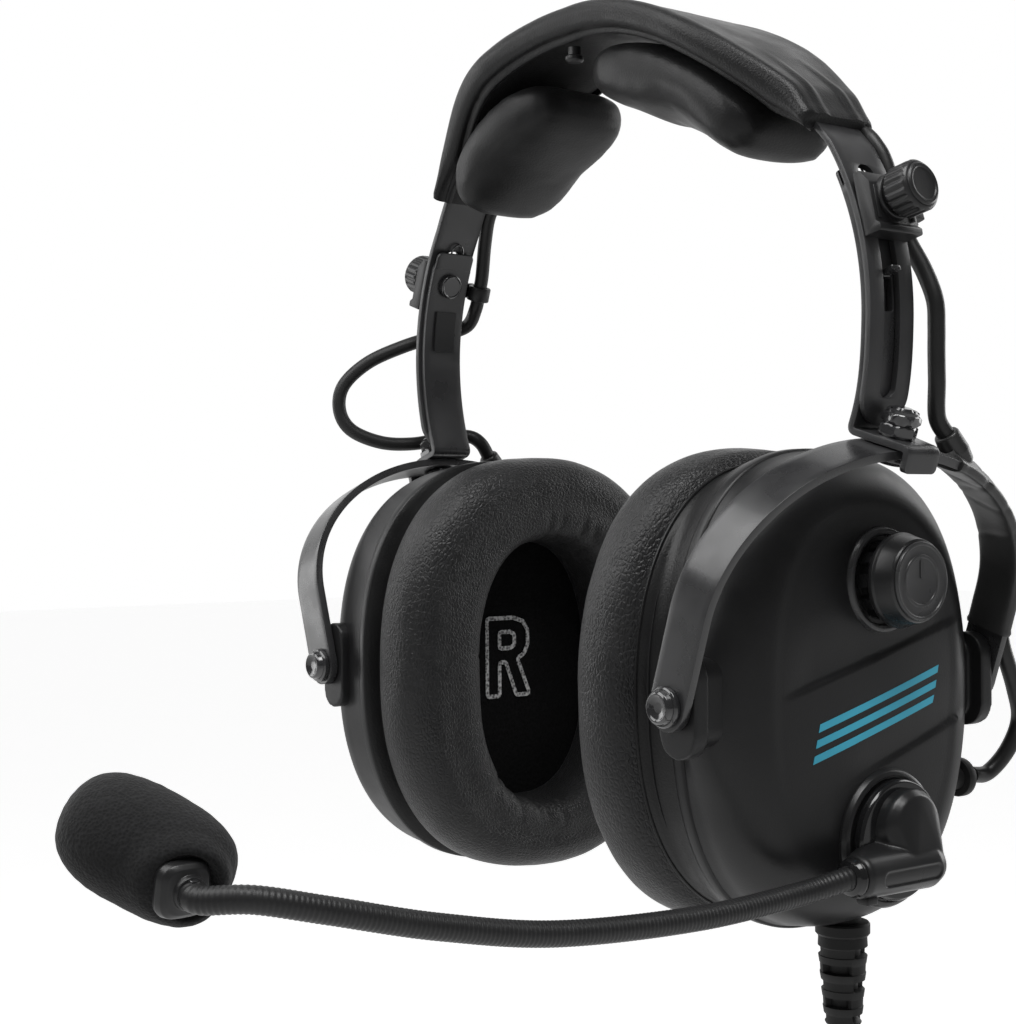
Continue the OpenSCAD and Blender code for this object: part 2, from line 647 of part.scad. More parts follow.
boom_x = face_x + boom_ring_h + gap;
barrel_x = 5.4;
barrel_z = -5.2;
module boom_clamp() {
    color("#1b1b1d") translate([boom_x, boom_at[0], boom_at[1]]) difference() {
        union() {
            translate([-7, 0, 0]) rod_x(8, 8);
            rod_x(27, 2.2);
            hull() {
                translate([1, 0, 4]) rod_x(15, 5.6);
                translate([barrel_x, 0, -4.6]) rod_y(9.6, 4.4);
            }
            hull() {
                translate([barrel_x, -20, barrel_z]) rod_y(10, 22);
                translate([barrel_x, 1, barrel_z]) rod_y(10.6, 4.4);
            }
        }
        translate([barrel_x, -22.5, barrel_z]) rod_y(neck_d + 2 * slip, 16);
    }
}

module boom_ferrule() {
    color("#0c0c0d") translate([boom_x + barrel_x, boom_at[0] - 20 - 1.7,
        boom_at[1] + barrel_z]) difference() {
            rod_y(7.4, 1.6);
            translate([0, -1, 0]) rod_y(neck_d + 2 * slip, 5);
        }
}

module gooseneck() {
    start = [boom_x + barrel_x, boom_at[0] - 8, boom_at[1] + barrel_z];
    ends = [for (d = [5.6, holder_tip + 2 * gap]) holder_at + d * unit(holder_v)];
    color("#151516") tube(concat([start], smooth(concat([start - [0, 14, 0]], neck_pts, ends), 2)),
        neck_d, 10, [1, 0, 0]);
}

// Place with its z axis along v.
module aim(at, v) {
    w = unit(v);
    translate(at) rotate([0, acos(w[2]), atan2(w[1], w[0])]) children();
}

// The holder enters the windscreen from its side, with the capsule at its inner end.
holder_tip = 1.6;
holder_l = 14;
rim_h = 2.2;
module mic_holder() {
    color("#101011") aim(holder_at, holder_v) {
        translate([0, 0, -rim_h]) cylinder(d = holder_d, h = rim_h);
        translate([0, 0, -holder_l]) cylinder(d = holder_d - 2, h = holder_l - rim_h + 0.1);
        translate([0, 0, -0.1]) cylinder(d1 = holder_d - 2, d2 = 6.6, h = holder_tip + 0.1);
    }
}

module mic_foam() {
    color("#141414") difference() {
        aim(foam_c, foam_v) loft([for (i = [0:12])
            let(u = -cos(180 * (0.05 + 0.9 * i / 12)), f = pow(1 - pow(abs(u), 2.6), 1 / 2.6))
            [for (j = [0:23]) [foam_d / 2 * f * cos(j * 15), -foam_d / 2 * f * sin(j * 15),
                foam_l / 2 * u]]]);
        aim(holder_at, holder_v) {
            translate([0, 0, -rim_h - gap]) cylinder(d = holder_d + 2 * gap, h = 8);
            translate([0, 0, -holder_l - gap]) cylinder(d = holder_d - 2 + 2 * gap, h = holder_l);
        }
    }
}

// ---- main cord ----

module strain_relief() {
    color("#141415") translate([relief_at[0], relief_at[1], relief_top]) difference() {
        union() {
            translate([0, 0, -3]) cylinder(d = 12.6, h = 3);
            translate([0, 0, -relief_l]) cylinder(d1 = 8, d2 = 11.2, h = relief_l - 2.9);
            cylinder(d = 8.6, h = 6);
        }
        for (k = [0:2]) for (a = [0, 90]) rotate([0, 0, a + 45 * (k % 2)])
            translate([-8, -1.6, -8.2 - k * 5.2]) cube([4.6, 3.2, 2.6]);
    }
}

cord_top = relief_top - relief_l;
drop_pts = [[relief_at[0], relief_at[1], cord_top - 0.3], [relief_at[0], relief_at[1], cord_top - 8],
    [relief_at[0] - 1.4, relief_at[1], cord_top - 22],
    [coil_c[0] - coil_pitch / 2, relief_at[1], cord_top - 36],
    [coil_c[0] - coil_pitch / 2, relief_at[1], coil_c[2] + cord_d + 0.3]];
module cord_drop() { color("#101010") tube(smooth(drop_pts, 2), cord_d, 8, [1, 0, 0]); }

// The coil: in to the middle in one layer, out again in the next, and off over its top.
coil_n = coil_turns * 2 - 0.25;
function coil_at(s) = let(h = coil_turns, m = s < h ? s : 2 * h - s,
    r = coil_out - coil_pitch * m, a = 180 + 360 * s,
    x = coil_pitch * (ease(s - h + 0.5) - 0.5))
    coil_c + [x, r * cos(a), r * sin(a)];
coil_pts = concat(
    [coil_at(0) + [0, 0, cord_d]], [for (i = [0:coil_n * 24]) coil_at(i / 24)],
    [for (q = coil_end_pts) coil_c + q]);
function span(i, j) = norm(coil_pts[i] - coil_pts[j]);
coil_gap = min([for (i = [0:3:len(coil_pts) - 14]) min([for (j = [i + 13:1:len(coil_pts) - 1])
    span(i, j)])]) - cord_d;
echo(coil_gap = coil_gap);
module cord_coil() { color("#101010") tube(coil_pts, cord_d, 6, [1, 0.001, 0]); }

module cord_tie() {
    w = coil_turns * coil_pitch + cord_d + 1.2;
    d = coil_pitch + cord_d + 1.2;
    color("#1d1d1f") translate(coil_c + [0, coil_r, 0]) difference() {
        cube([d + 2.4, w + 2.4, 12], center = true);
        cube([d, w, 14], center = true);
    }
}

split_at = coil_c + coil_end_pts[3] - [0, 0, gap];
module cord_split() {
    color("#161617") translate(split_at) {
        translate([0, 0, -10]) cylinder(d1 = 8.4, d2 = 6.2, h = 10);
        translate([0, 0, -split_l]) linear_extrude(split_l - 9.9) hull()
            for (k = [-1, 1]) translate([0, k * 2.6]) circle(d = 8.4);
    }
}
// Route of the leg on side k of the split, l long.
function leg_pts(k, l) = [for (q = [[2.6, 0.3], [2.6, 4.4], [5.2, 24], [9.4, 48], [11.8, 72],
    [12, l - 4.7], [12, l]]) split_at + [0, k * q[0], -split_l - q[1]]];
phones_pts = leg_pts(-1, 98);
mic_leg_pts = leg_pts(1, 102);
module cord_phones() { color("#101010") tube(phones_pts, 3.8, 8, [1, 0, 0]); }
module cord_mic() { color("#101010") tube(mic_leg_pts, 3.8, 8, [1, 0, 0]); }

module plug_handle(p, d) {
    color("#19191b") translate(p) difference() {
        union() {
            translate([0, 0, -14]) cylinder(d1 = 9, d2 = 5.6, h = 14);
            translate([0, 0, -40]) cylinder(d = 13, h = 26.1);
            translate([0, 0, -43]) cylinder(d = 11, h = 3.1);
        }
        translate([0, 0, -44]) cylinder(d = 0.7 * d + 0.1, h = 13);
    }
}
// Jack shaft, with its collars and its turned tip.
module jack(p, d, l) {
    color("#c9a54a") translate(p + [0, 0, -43]) {
        translate([0, 0, -l + 6.5]) cylinder(d = d, h = l - 6.5);
        translate([0, 0, -0.1]) cylinder(d = 0.7 * d, h = 12);
        translate([0, 0, -l + 5.2]) cylinder(d = d * 0.62, h = 1.4);
        translate([0, 0, -l + 2.8]) cylinder(d1 = d * 0.86, d2 = d * 0.62, h = 2.5);
        translate([0, 0, -l]) cylinder(d1 = d * 0.4, d2 = d * 0.86, h = 2.9);
    }
}
phones_end = phones_pts[6] - [0, 0, gap];
mic_end = mic_leg_pts[6] - [0, 0, gap];
module plug_phones() { plug_handle(phones_end, phones_d); }
module plug_mic() { plug_handle(mic_end, mic_plug_d); }
module jack_phones() { jack(phones_end, phones_d, 30.5); }
module jack_mic() { jack(mic_end, mic_plug_d, 30.5); }

// ---- one line for each piece ----

headband_strip();
headband_cover();
head_pad_left();
head_pad_right();
cover_stud();
crossover_lead();
arm();  // arm_left
clamp_block();  // clamp_block_left
clamp_stud();  // clamp_stud_left
clamp_knob();  // clamp_knob_left
yoke_bolt();  // yoke_bolt_left
yoke_nuts();  // yoke_nuts_left
yoke();  // yoke_left
pivot_pins();  // pivot_pins_left
sleeve();  // sleeve_left
lead_upper();  // lead_upper_left
lead_lower(1, left_low_pts);  // lead_lower_left
lead_cup();  // lead_cup_left
cup_left();
seal_plate();  // seal_plate_left
ear_seal();  // ear_seal_left
ear_liner();  // ear_liner_left
speaker();  // speaker_left
grommet();  // grommet_left
mirror([1, 0, 0]) arm();  // arm_right
mirror([1, 0, 0]) clamp_block();  // clamp_block_right
mirror([1, 0, 0]) clamp_stud();  // clamp_stud_right
mirror([1, 0, 0]) clamp_knob();  // clamp_knob_right
mirror([1, 0, 0]) yoke_bolt();  // yoke_bolt_right
mirror([1, 0, 0]) yoke_nuts();  // yoke_nuts_right
mirror([1, 0, 0]) yoke();  // yoke_right
mirror([1, 0, 0]) pivot_pins();  // pivot_pins_right
mirror([1, 0, 0]) sleeve();  // sleeve_right
mirror([1, 0, 0]) lead_upper();  // lead_upper_right
lead_lower(-1, right_low_pts);  // lead_lower_right
mirror([1, 0, 0]) lead_cup();  // lead_cup_right
cup_right();
mirror([1, 0, 0]) seal_plate();  // seal_plate_right
mirror([1, 0, 0]) ear_seal();  // ear_seal_right
mirror([1, 0, 0]) ear_liner();  // ear_liner_right
mirror([1, 0, 0]) speaker();  // speaker_right
mirror([1, 0, 0]) grommet();  // grommet_right
volume_knob();
boom_clamp();
boom_ferrule();
gooseneck();
mic_holder();
mic_foam();
strain_relief();
cord_drop();
cord_coil();
cord_tie();
cord_split();
cord_phones();
cord_mic();
plug_phones();
plug_mic();
jack_phones();
jack_mic();
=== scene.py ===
"""Looks of an aviation headset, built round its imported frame. Lengths are millimetres until a mesh is made.

X points to the wearer's left, Y to the rear, Z up. A piece is built for the left side and mirrored for the right.
"""

import math

import bmesh
import bpy
import numpy as np
from mathutils import Matrix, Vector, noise

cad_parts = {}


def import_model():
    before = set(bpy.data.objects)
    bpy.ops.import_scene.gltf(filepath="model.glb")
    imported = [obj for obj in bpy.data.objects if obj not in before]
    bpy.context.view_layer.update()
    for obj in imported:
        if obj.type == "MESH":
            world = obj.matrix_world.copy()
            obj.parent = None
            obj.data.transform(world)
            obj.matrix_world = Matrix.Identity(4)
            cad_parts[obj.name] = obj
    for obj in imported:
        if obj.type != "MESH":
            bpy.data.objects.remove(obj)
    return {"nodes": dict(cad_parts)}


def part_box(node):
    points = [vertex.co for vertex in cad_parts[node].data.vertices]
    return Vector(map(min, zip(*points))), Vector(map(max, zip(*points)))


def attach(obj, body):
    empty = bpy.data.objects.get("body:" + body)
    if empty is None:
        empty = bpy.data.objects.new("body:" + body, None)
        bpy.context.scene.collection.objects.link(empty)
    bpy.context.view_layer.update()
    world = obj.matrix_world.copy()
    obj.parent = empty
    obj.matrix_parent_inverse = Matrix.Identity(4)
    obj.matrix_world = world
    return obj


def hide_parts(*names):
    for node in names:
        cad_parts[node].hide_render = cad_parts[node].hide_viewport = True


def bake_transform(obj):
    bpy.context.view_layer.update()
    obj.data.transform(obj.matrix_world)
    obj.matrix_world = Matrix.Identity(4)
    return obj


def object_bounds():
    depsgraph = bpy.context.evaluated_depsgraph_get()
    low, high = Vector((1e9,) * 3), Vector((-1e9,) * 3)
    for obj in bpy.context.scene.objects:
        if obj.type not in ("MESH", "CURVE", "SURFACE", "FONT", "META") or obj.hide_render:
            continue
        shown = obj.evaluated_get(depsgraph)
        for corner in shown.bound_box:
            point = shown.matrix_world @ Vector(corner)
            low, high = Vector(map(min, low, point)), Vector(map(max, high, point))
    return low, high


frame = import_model()
cad_box = [list(corner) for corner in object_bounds()]
sin, cos, pi = np.sin, np.cos, np.pi
rad = np.radians

# ---------------------------------------------------------------- sizes shared with the CAD source

CROWN_R, CROWN_ARC = 88.2, 58.0
SLOT_R = 70.5
C0 = np.array([0, 0, 163.3 - CROWN_R])
C1 = C0 + (CROWN_R - SLOT_R) * np.array([sin(rad(CROWN_ARC)), 0, cos(rad(CROWN_ARC))])
SLOT_FROM, SLOT_LEN, SLOT_W = 5.5, 53.4, 5.2
STRIP_W, STRIP_T, STRIP_END = 14.4, 1.4, 65.1
STUD_S = 15.7
ARM_W, ARM_T = 12.8, 1.6
ARM_R = SLOT_R - STRIP_T / 2 - 0.3 - ARM_T / 2
PIVOT_X, LEAN = 68.0, 18.0
YOKE_H, YOKE_HALF, LEG_H, YOKE_W, YOKE_T = 57.8, 50.6, 20.0, 10.5, 2.0
FOOT_Z = YOKE_H + 0.1
RIM_X, CUP_D, FILLET = 51.3, 24.2, 13.0
FACE_X = RIM_X + CUP_D
VOL = np.array([7.3, 25.0])
BOOM = np.array([8.2, -33.0])
BOOM_X = FACE_X + 2.7
LEAD_D, CORD_D, NECK_D = 4.0, 5.2, 5.0
# where the lower lead enters the boot beside the yoke's sleeve, and its direction there
BOOT_AT, BOOT_V = np.array([85.2, 18.2, 57.8]), np.array([0.04, 0.6, -0.79])
FOAM_R, FOAM_HALF = 11.1, 16.5
FOAM_C, FOAM_V = np.array([47.1, -159.2, -19.3]), np.array([-0.66, -0.60, 0.44])
HOLDER_AT, HOLDER_V = np.array([60.4, -158.5, -24.6]), np.array([0.987, 0.033, -0.15])
RELIEF = np.array([62.0, 9.0, -54.4])
COVER_END = 52.8


# ---------------------------------------------------------------- small tools


def unit(v):
    v = np.asarray(v, float)
    return v / np.linalg.norm(v)


def ease(t):
    t = np.clip(t, 0, 1)
    return t * t * (3 - 2 * t)


def bump_of(t, middle, width):
    """A smooth hill of height 1, width to each side of middle."""
    return ease(1 - np.abs(np.asarray(t, float) - middle) / width)


def frame4(origin, x, y, z):
    m = np.eye(4)
    m[:3, 0], m[:3, 1], m[:3, 2], m[:3, 3] = x, y, z, origin
    return m


def around(n):
    """n angles round a circle."""
    return np.arange(n) * 2 * pi / n


def power(x, e):
    """x to the power e, with its sign kept: the corners of a superellipse."""
    return np.sign(x) * np.abs(x) ** e


def moved(p):
    """A place at p with the object's own axes."""
    return frame4(p, (1, 0, 0), (0, 1, 0), (0, 0, 1))


def facing_out(p):
    """A place at p whose z axis points along X, out of the left cup."""
    return frame4(p, (0, 0, -1), (0, 1, 0), (1, 0, 0))


def facing_y(p, k):
    """A place at p whose z axis points to the rear for k = 1 and to the front for k = -1."""
    return frame4(p, (1, 0, 0), (0, 0, -k), (0, k, 0))


def spun(p, a):
    """A place at p turned by a radians about Z."""
    return frame4(p, (cos(a), sin(a), 0), (-sin(a), cos(a), 0), (0, 0, 1))


def units(v):
    """Each row of v at length 1."""
    return v / np.linalg.norm(v, axis=1)[:, None]


def ring_at(x, y, z):
    """A ring of points at one x."""
    return np.stack([np.full(len(y), x), y, z], 1)


def run_of(path):
    """Distance along a path at each of its points."""
    return np.r_[0, np.cumsum(np.linalg.norm(np.diff(path, axis=0), axis=1))]


def catmull(a, b, c, d, t):
    """Points between b and c on the smooth curve through a, b, c and d."""
    square, cube = 2 * a - 5 * b + 4 * c - d, 3 * b - a - 3 * c + d
    return 0.5 * (2 * b + (c - a) * t + square * t**2 + cube * t**3)


def resample(fine, dist, at):
    """The points of a curve at the distances given."""
    return np.stack([np.interp(at, dist, fine[:, k]) for k in range(fine.shape[1])], 1)


def at_slot(s):
    """Place on the strip's side, s below the crown's end: x outward, z up the strip."""
    a = rad(CROWN_ARC) + s / SLOT_R
    out = np.array([sin(a), 0, cos(a)])
    return frame4(C1 + SLOT_R * out, out, (0, 1, 0), (-cos(a), 0, sin(a)))


AT_YOKE = frame4((PIVOT_X, 0, 0), (cos(rad(LEAN)), 0, -sin(rad(LEAN))), (0, 1, 0),
                 (sin(rad(LEAN)), 0, cos(rad(LEAN))))


def along(origin, z, hint=(0, 0, 1)):
    """Place with its z axis along z and its x axis near hint."""
    z = unit(z)
    y = unit(np.cross(z, hint))
    return frame4(origin, np.cross(y, z), y, z)


def put(solid, m):
    v, f = solid
    return np.asarray(v, float) @ m[:3, :3].T + m[:3, 3], f


def join(solids):
    verts, faces, n = [], [], 0
    for v, f in solids:
        verts.append(np.asarray(v, float))
        faces += [tuple(n + i for i in q) for q in f]
        n += len(v)
    return np.concatenate(verts), faces


def grid(p, wrap_u=False, wrap_v=False, caps=False):
    """Quads over an array of points, wrapped either way, with flat caps on the ends of u."""
    m, n = p.shape[:2]
    u, v = range(m if wrap_u else m - 1), range(n if wrap_v else n - 1)
    faces = [(i * n + j, i * n + (j + 1) % n, ((i + 1) % m) * n + (j + 1) % n, ((i + 1) % m) * n + j) for i in u
             for j in v]
    verts = p.reshape(-1, 3)
    if caps:
        faces += [tuple(range(n))[::-1], tuple((m - 1) * n + j for j in range(n))]
    return verts, faces


def fillet(points, r, k=4, closed=False):
    """A polyline with its corners rounded to radius r, or to a radius for each point."""
    p = [np.asarray(q, float) for q in points]
    n, out = len(p), []
    radii = r if hasattr(r, "__len__") else [r] * n
    for i in range(n):
        if (not closed and i in (0, n - 1)) or radii[i] <= 0:
            out.append(p[i])
            continue
        a, b, c = p[i - 1], p[i], p[(i + 1) % n]
        u, v = unit(a - b), unit(c - b)
        half = math.acos(max(-1, min(1, float(u @ v)))) / 2
        cut = min(radii[i] / max(math.tan(half), 1e-6), np.linalg.norm(a - b) * 0.49, np.linalg.norm(c - b) * 0.49)
        for t in np.linspace(0, 1, k + 1):
            out.append((1 - t) ** 2 * (b + cut * u) + 2 * t * (1 - t) * b + t * t * (b + cut * v))
    return np.array(out)


def lathe(profile, n=64, radius=None):
    """A solid turned about z from (r, z) points; radius(angle, r, z) may reshape it."""
    th = around(n)
    rings = []
    for r, z in profile:
        rr = np.full(n, max(r, 0.01)) if radius is None else radius(th, max(r, 0.01), z)
        rings.append(np.stack([rr * cos(th), rr * sin(th), np.full(n, z)], 1))
    return grid(np.array(rings), wrap_v=True, caps=True)


def disc(d, z0, z1, r=0.3, n=64):
    """A cylinder with rounded rims."""
    return lathe(fillet([(0.01, z0), (d / 2, z0), (d / 2, z1), (0.01, z1)], [0, r, r, 0]), n)


def prism(outline, h0, h1):
    """A flat outline extruded from h0 to h1 along z."""
    o = np.asarray(outline, float)
    rings = np.array([np.c_[o, np.full(len(o), h)] for h in (h0, h1)])
    return grid(rings, wrap_v=True, caps=True)


def block(x, y, z, r):
    """A box from its three ranges, with rounded upright edges."""
    outline = fillet([(x[0], y[0]), (x[1], y[0]), (x[1], y[1]), (x[0], y[1])], r, 3, True)
    return prism(outline, z[0], z[1])


def stadium(half, r):
    """An outline along y, half + r to each end."""
    a = np.linspace(0, pi, 13)
    top = np.c_[r * cos(a), half + r * sin(a)]
    return np.concatenate([top, -top])


def spline(points, step):
    """Evenly spaced points on a smooth curve through the given ones."""
    p = np.asarray(points, float)
    ext = np.concatenate([[2 * p[0] - p[1]], p, [2 * p[-1] - p[-2]]])
    fine = []
    for i in range(len(p) - 1):
        a, b, c, d = ext[i : i + 4]
        t = np.linspace(0, 1, 24, endpoint=False)[:, None]
        fine.append(catmull(a, b, c, d, t))
    fine = np.concatenate([*fine, [p[-1]]])
    dist = run_of(fine)
    at = np.linspace(0, dist[-1], max(int(dist[-1] / step) + 1, 4))
    return resample(fine, dist, at)


def sections(path, hint=(0, 0, 1)):
    """Two directions across the path at each point, carried along it without twist."""
    t = units(np.gradient(path, axis=0))
    u = unit(np.cross(t[0], hint))
    us = []
    for d in t:
        u = unit(u - d * (u @ d))
        us.append(u)
    us = np.array(us)
    return us, np.cross(t, us)


def tube(path, d, sides=16, scale=None, hint=(0, 0, 1)):
    u, v = sections(path, hint)
    a = around(sides)
    r = np.full(len(path), d / 2) if scale is None else d / 2 * scale
    ring = cos(a)[None, :, None] * u[:, None] + sin(a)[None, :, None] * v[:, None]
    return grid(path[:, None] + r[:, None, None] * ring, wrap_v=True, caps=True)


def length_of(path):
    return float(np.linalg.norm(np.diff(path, axis=0), axis=1).sum())


def rough(p, size, seed):
    """Smooth noise at each point, about -1 to 1."""
    return np.array([noise.noise((q[0] / size + seed, q[1] / size - seed, q[2] / size + 2 * seed)) for q in p])


def crown_lean(v):
    """The worn band's crown hangs lower on the wearer's left and higher on the right."""
    v = np.asarray(v, float).copy()
    a = np.degrees(np.arcsin(np.clip(v[:, 0] / CROWN_R, -1, 1)))
    high = ease((v[:, 2] - 90) / 36)
    lean = sin(pi * np.clip(np.abs(a) / CROWN_ARC, 0, 1) ** 1.6) * np.sign(a)
    v[:, 2] -= 4.0 * lean * high
    v[:, 0] -= 0.8 * (v[:, 0] > 0) * ease((v[:, 2] - 62) / 20) * (1 - ease((v[:, 2] - 122) / 22))
    return v


def apply_modifiers(ob):
    graph = bpy.context.evaluated_depsgraph_get()
    mesh = bpy.data.meshes.new_from_object(ob.evaluated_get(graph))
    ob.modifiers.clear()
    old, ob.data = ob.data, mesh
    bpy.data.meshes.remove(old)


def make(name, solid, mat, body, side=1, slot=None, stands_for=(), lean=False, sharp=38, bevel=0, segments=2,
         fuse=None, thick=0, uv=None):
    """Makes a piece: mirrored for side -1, in metres, with its finish, riding on its body."""
    v, f = solid if isinstance(solid, tuple) else join(solid)
    v = np.array(v, float)
    if side < 0:
        v[:, 0] *= -1
        f = [q[::-1] for q in f]
    if lean:
        v = crown_lean(v)
    mesh = bpy.data.meshes.new(name)
    mesh.from_pydata([tuple(q) for q in v / 1000], [], [tuple(q) for q in f])
    ob = bpy.data.objects.new(name, mesh)
    bpy.context.scene.collection.objects.link(ob)
    bm = bmesh.new()
    bm.from_mesh(mesh)
    bmesh.ops.remove_doubles(bm, verts=bm.verts, dist=2e-6)
    if not thick:
        bmesh.ops.recalc_face_normals(bm, faces=bm.faces)
    bm.to_mesh(mesh)
    bm.free()
    if uv is not None:
        layer = mesh.uv_layers.new(name="UVMap")
        corners = np.zeros(len(mesh.loops), int)
        mesh.loops.foreach_get("vertex_index", corners)
        layer.data.foreach_set("uv", np.asarray(uv, np.float32)[corners].ravel())
    if thick:
        m = ob.modifiers.new("thick", "SOLIDIFY")
        m.thickness, m.offset, m.use_even_offset = thick / 1000, 0, True
    if fuse:
        m = ob.modifiers.new("fuse", "REMESH")
        m.mode, m.voxel_size = "VOXEL", fuse[0] / 1000
        m = ob.modifiers.new("soften", "SMOOTH")
        m.factor, m.iterations = 0.5, fuse[1]
    if bevel:
        m = ob.modifiers.new("edges", "BEVEL")
        m.width, m.segments, m.limit_method, m.angle_limit = bevel / 1000, segments, "ANGLE", rad(35)
    if ob.modifiers:
        apply_modifiers(ob)
    mesh = ob.data
    mesh.shade_smooth()
    if not fuse:
        mesh.set_sharp_from_angle(angle=rad(sharp))
    mesh.materials.clear()
    for m in mat if isinstance(mat, list) else [mat]:
        mesh.materials.append(m)
    if body:
        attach(ob, body)
    if stands_for:
        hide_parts(*([stands_for] if isinstance(stands_for, str) else stands_for))
    return ob


def swell(ob, cap, voxel=2.4, pressure=4.0):
    """Puffs a closed soft piece up with Cloth, holding each point within cap millimetres of its start."""
    m = ob.modifiers.new("even", "REMESH")
    m.mode, m.voxel_size = "VOXEL", voxel / 1000
    apply_modifiers(ob)
    start = np.array([q.co for q in ob.data.vertices])
    m = ob.modifiers.new("cloth", "CLOTH")
    m.settings.use_pressure, m.settings.uniform_pressure_force = True, pressure
    m.settings.effector_weights.gravity = 0
    for k in range(1, 21):
        bpy.context.scene.frame_set(k)
    apply_modifiers(ob)
    move = np.array([q.co for q in ob.data.vertices]) - start
    size = np.linalg.norm(move, axis=1)
    move *= np.minimum(1, cap / 1000 / np.maximum(size, 1e-9))[:, None]
    ob.data.vertices.foreach_set("co", (start + move).ravel())
    bpy.context.scene.frame_set(1)
    m = ob.modifiers.new("smooth", "SUBSURF")
    m.levels = m.render_levels = 1
    apply_modifiers(ob)
    ob.data.shade_smooth()


def both(name, solid, mat, body, nodes=None, slot=None, **more):
    """The piece on the left and its mirror image on the right."""
    out = []
    for side, word in ((1, "left"), (-1, "right")):
        stands = [f"{n}_{word}" for n in ([nodes] if isinstance(nodes, str) else nodes or [])]
        out.append(make(f"{name}_{word}", solid, mat, f"{body}_{word}", side, slot, stands, **more))
    return out


# ---------------------------------------------------------------- finishes


class Finish:
    """A material with a Principled shader, and short ways to add nodes to it."""

    def __init__(self, name, color, roughness, spec=0.5, **sockets):
        self.material = bpy.data.materials.new(name)
        self.material.use_nodes = True
        self.tree = self.material.node_tree
        self.tree.nodes.clear()
        out = self.tree.nodes.new("ShaderNodeOutputMaterial")
        self.shader = self.tree.nodes.new("ShaderNodeBsdfPrincipled")
        self.tree.links.new(self.shader.outputs[0], out.inputs[0])
        self.set(self.shader, {"Base Color": (*color, 1), "Roughness": roughness, "Specular IOR Level": spec,
                               **sockets})
        self.color, self.rough, self.normal = color, roughness, None
        self.place = self.node("TexCoord").outputs["Object"]

    def set(self, node, values):
        for key, value in values.items():
            if isinstance(value, bpy.types.NodeSocket):
                self.tree.links.new(value, node.inputs[key])
            else:
                node.inputs[key].default_value = value

    def node(self, kind, values=None, **props):
        n = self.tree.nodes.new("ShaderNode" + kind)
        for key, value in props.items():
            setattr(n, key, value)
        self.set(n, values or {})
        return n

    def math(self, operation, a, b=0.0):
        return self.node("Math", {0: a, 1: b}, operation=operation).outputs[0]

    def uv(self, scale):
        tex = self.node("UVMap", uv_map="UVMap").outputs[0]
        return self.node("Mapping", {"Vector": tex, "Scale": (scale[0], scale[1], 1)}).outputs[0]

    def noise(self, size, detail=2.0, place=None, distortion=0.0):
        """Noise with features about size millimetres wide."""
        return self.node("TexNoise", {"Vector": place or self.place, "Scale": 1000 / size, "Detail": detail,
                                      "Distortion": distortion}).outputs[0]

    def cells(self, size, feature="DISTANCE_TO_EDGE", place=None, wobble=0.0):
        place = place or self.place
        if wobble:
            off = self.node("TexNoise", {"Vector": place, "Scale": 500 / size, "Detail": 1.0}).outputs[1]
            off = self.node("VectorMath", {0: off, "Scale": wobble / 1000}, operation="SCALE").outputs[0]
            place = self.node("VectorMath", {0: place, 1: off}, operation="ADD").outputs[0]
        return self.node("TexVoronoi", {"Vector": place, "Scale": 1000 / size}, feature=feature).outputs[0]

    def remap(self, value, low, high, to_low=0.0, to_high=1.0):
        return self.node("MapRange", {0: value, 1: low, 2: high, 3: to_low, 4: to_high}, clamp=True).outputs[0]

    def relief(self, height, depth):
        """Adds a bump of the given depth in millimetres, over those before it."""
        values = {"Height": height, "Distance": depth / 1000, "Strength": 1.0}
        if self.normal:
            values["Normal"] = self.normal
        self.normal = self.node("Bump", values).outputs[0]
        self.set(self.shader, {"Normal": self.normal})

    def shade(self, factor, amount=0.25):
        """Varies the colour, from darker to lighter by amount, with factor."""
        a = [c * (1 - amount) for c in self.color]
        b = [min(c * (1 + amount), 1) for c in self.color]
        mix = self.node("Mix", {0: factor, 6: (*a, 1), 7: (*b, 1)}, data_type="RGBA")
        self.set(self.shader, {"Base Color": mix.outputs[2]})

    def gloss(self, factor, low, high):
        """Varies the roughness between low and high with factor."""
        self.set(self.shader, {"Roughness": self.remap(factor, 0.3, 0.7, low, high)})


def moulded(name, color, roughness, grain=0.35, depth=0.02, spec=0.3, patch=14.0):
    """Moulded plastic or rubber: a fine spark texture, faint clouding and a little wear."""
    m = Finish(name, color, roughness, spec)
    cloud = m.noise(patch, 3.0)
    m.shade(cloud, 0.22)
    m.gloss(cloud, max(roughness - 0.06, 0.02), roughness + 0.07)
    m.relief(m.noise(grain, 2.0), depth)
    m.relief(m.noise(grain * 9, 2.0), depth * 0.5)
    return m.material


def steel(name, color, roughness, spec=0.5, coat=0.0, peel=1.4, depth=0.004, metallic=0.0):
    """Black coated steel with faint orange peel and handling marks."""
    m = Finish(name, color, roughness, spec, Metallic=metallic)
    m.shader.inputs["Coat Weight"].default_value = coat
    m.shader.inputs["Coat Roughness"].default_value = 0.08
    smear = m.noise(9.0, 4.0)
    m.shade(smear, 0.2)
    m.gloss(smear, roughness * 0.8, roughness * 1.35 + 0.02)
    m.relief(m.noise(peel, 2.0), depth)
    m.relief(m.noise(12.0, 1.0), depth * 3)
    return m.material


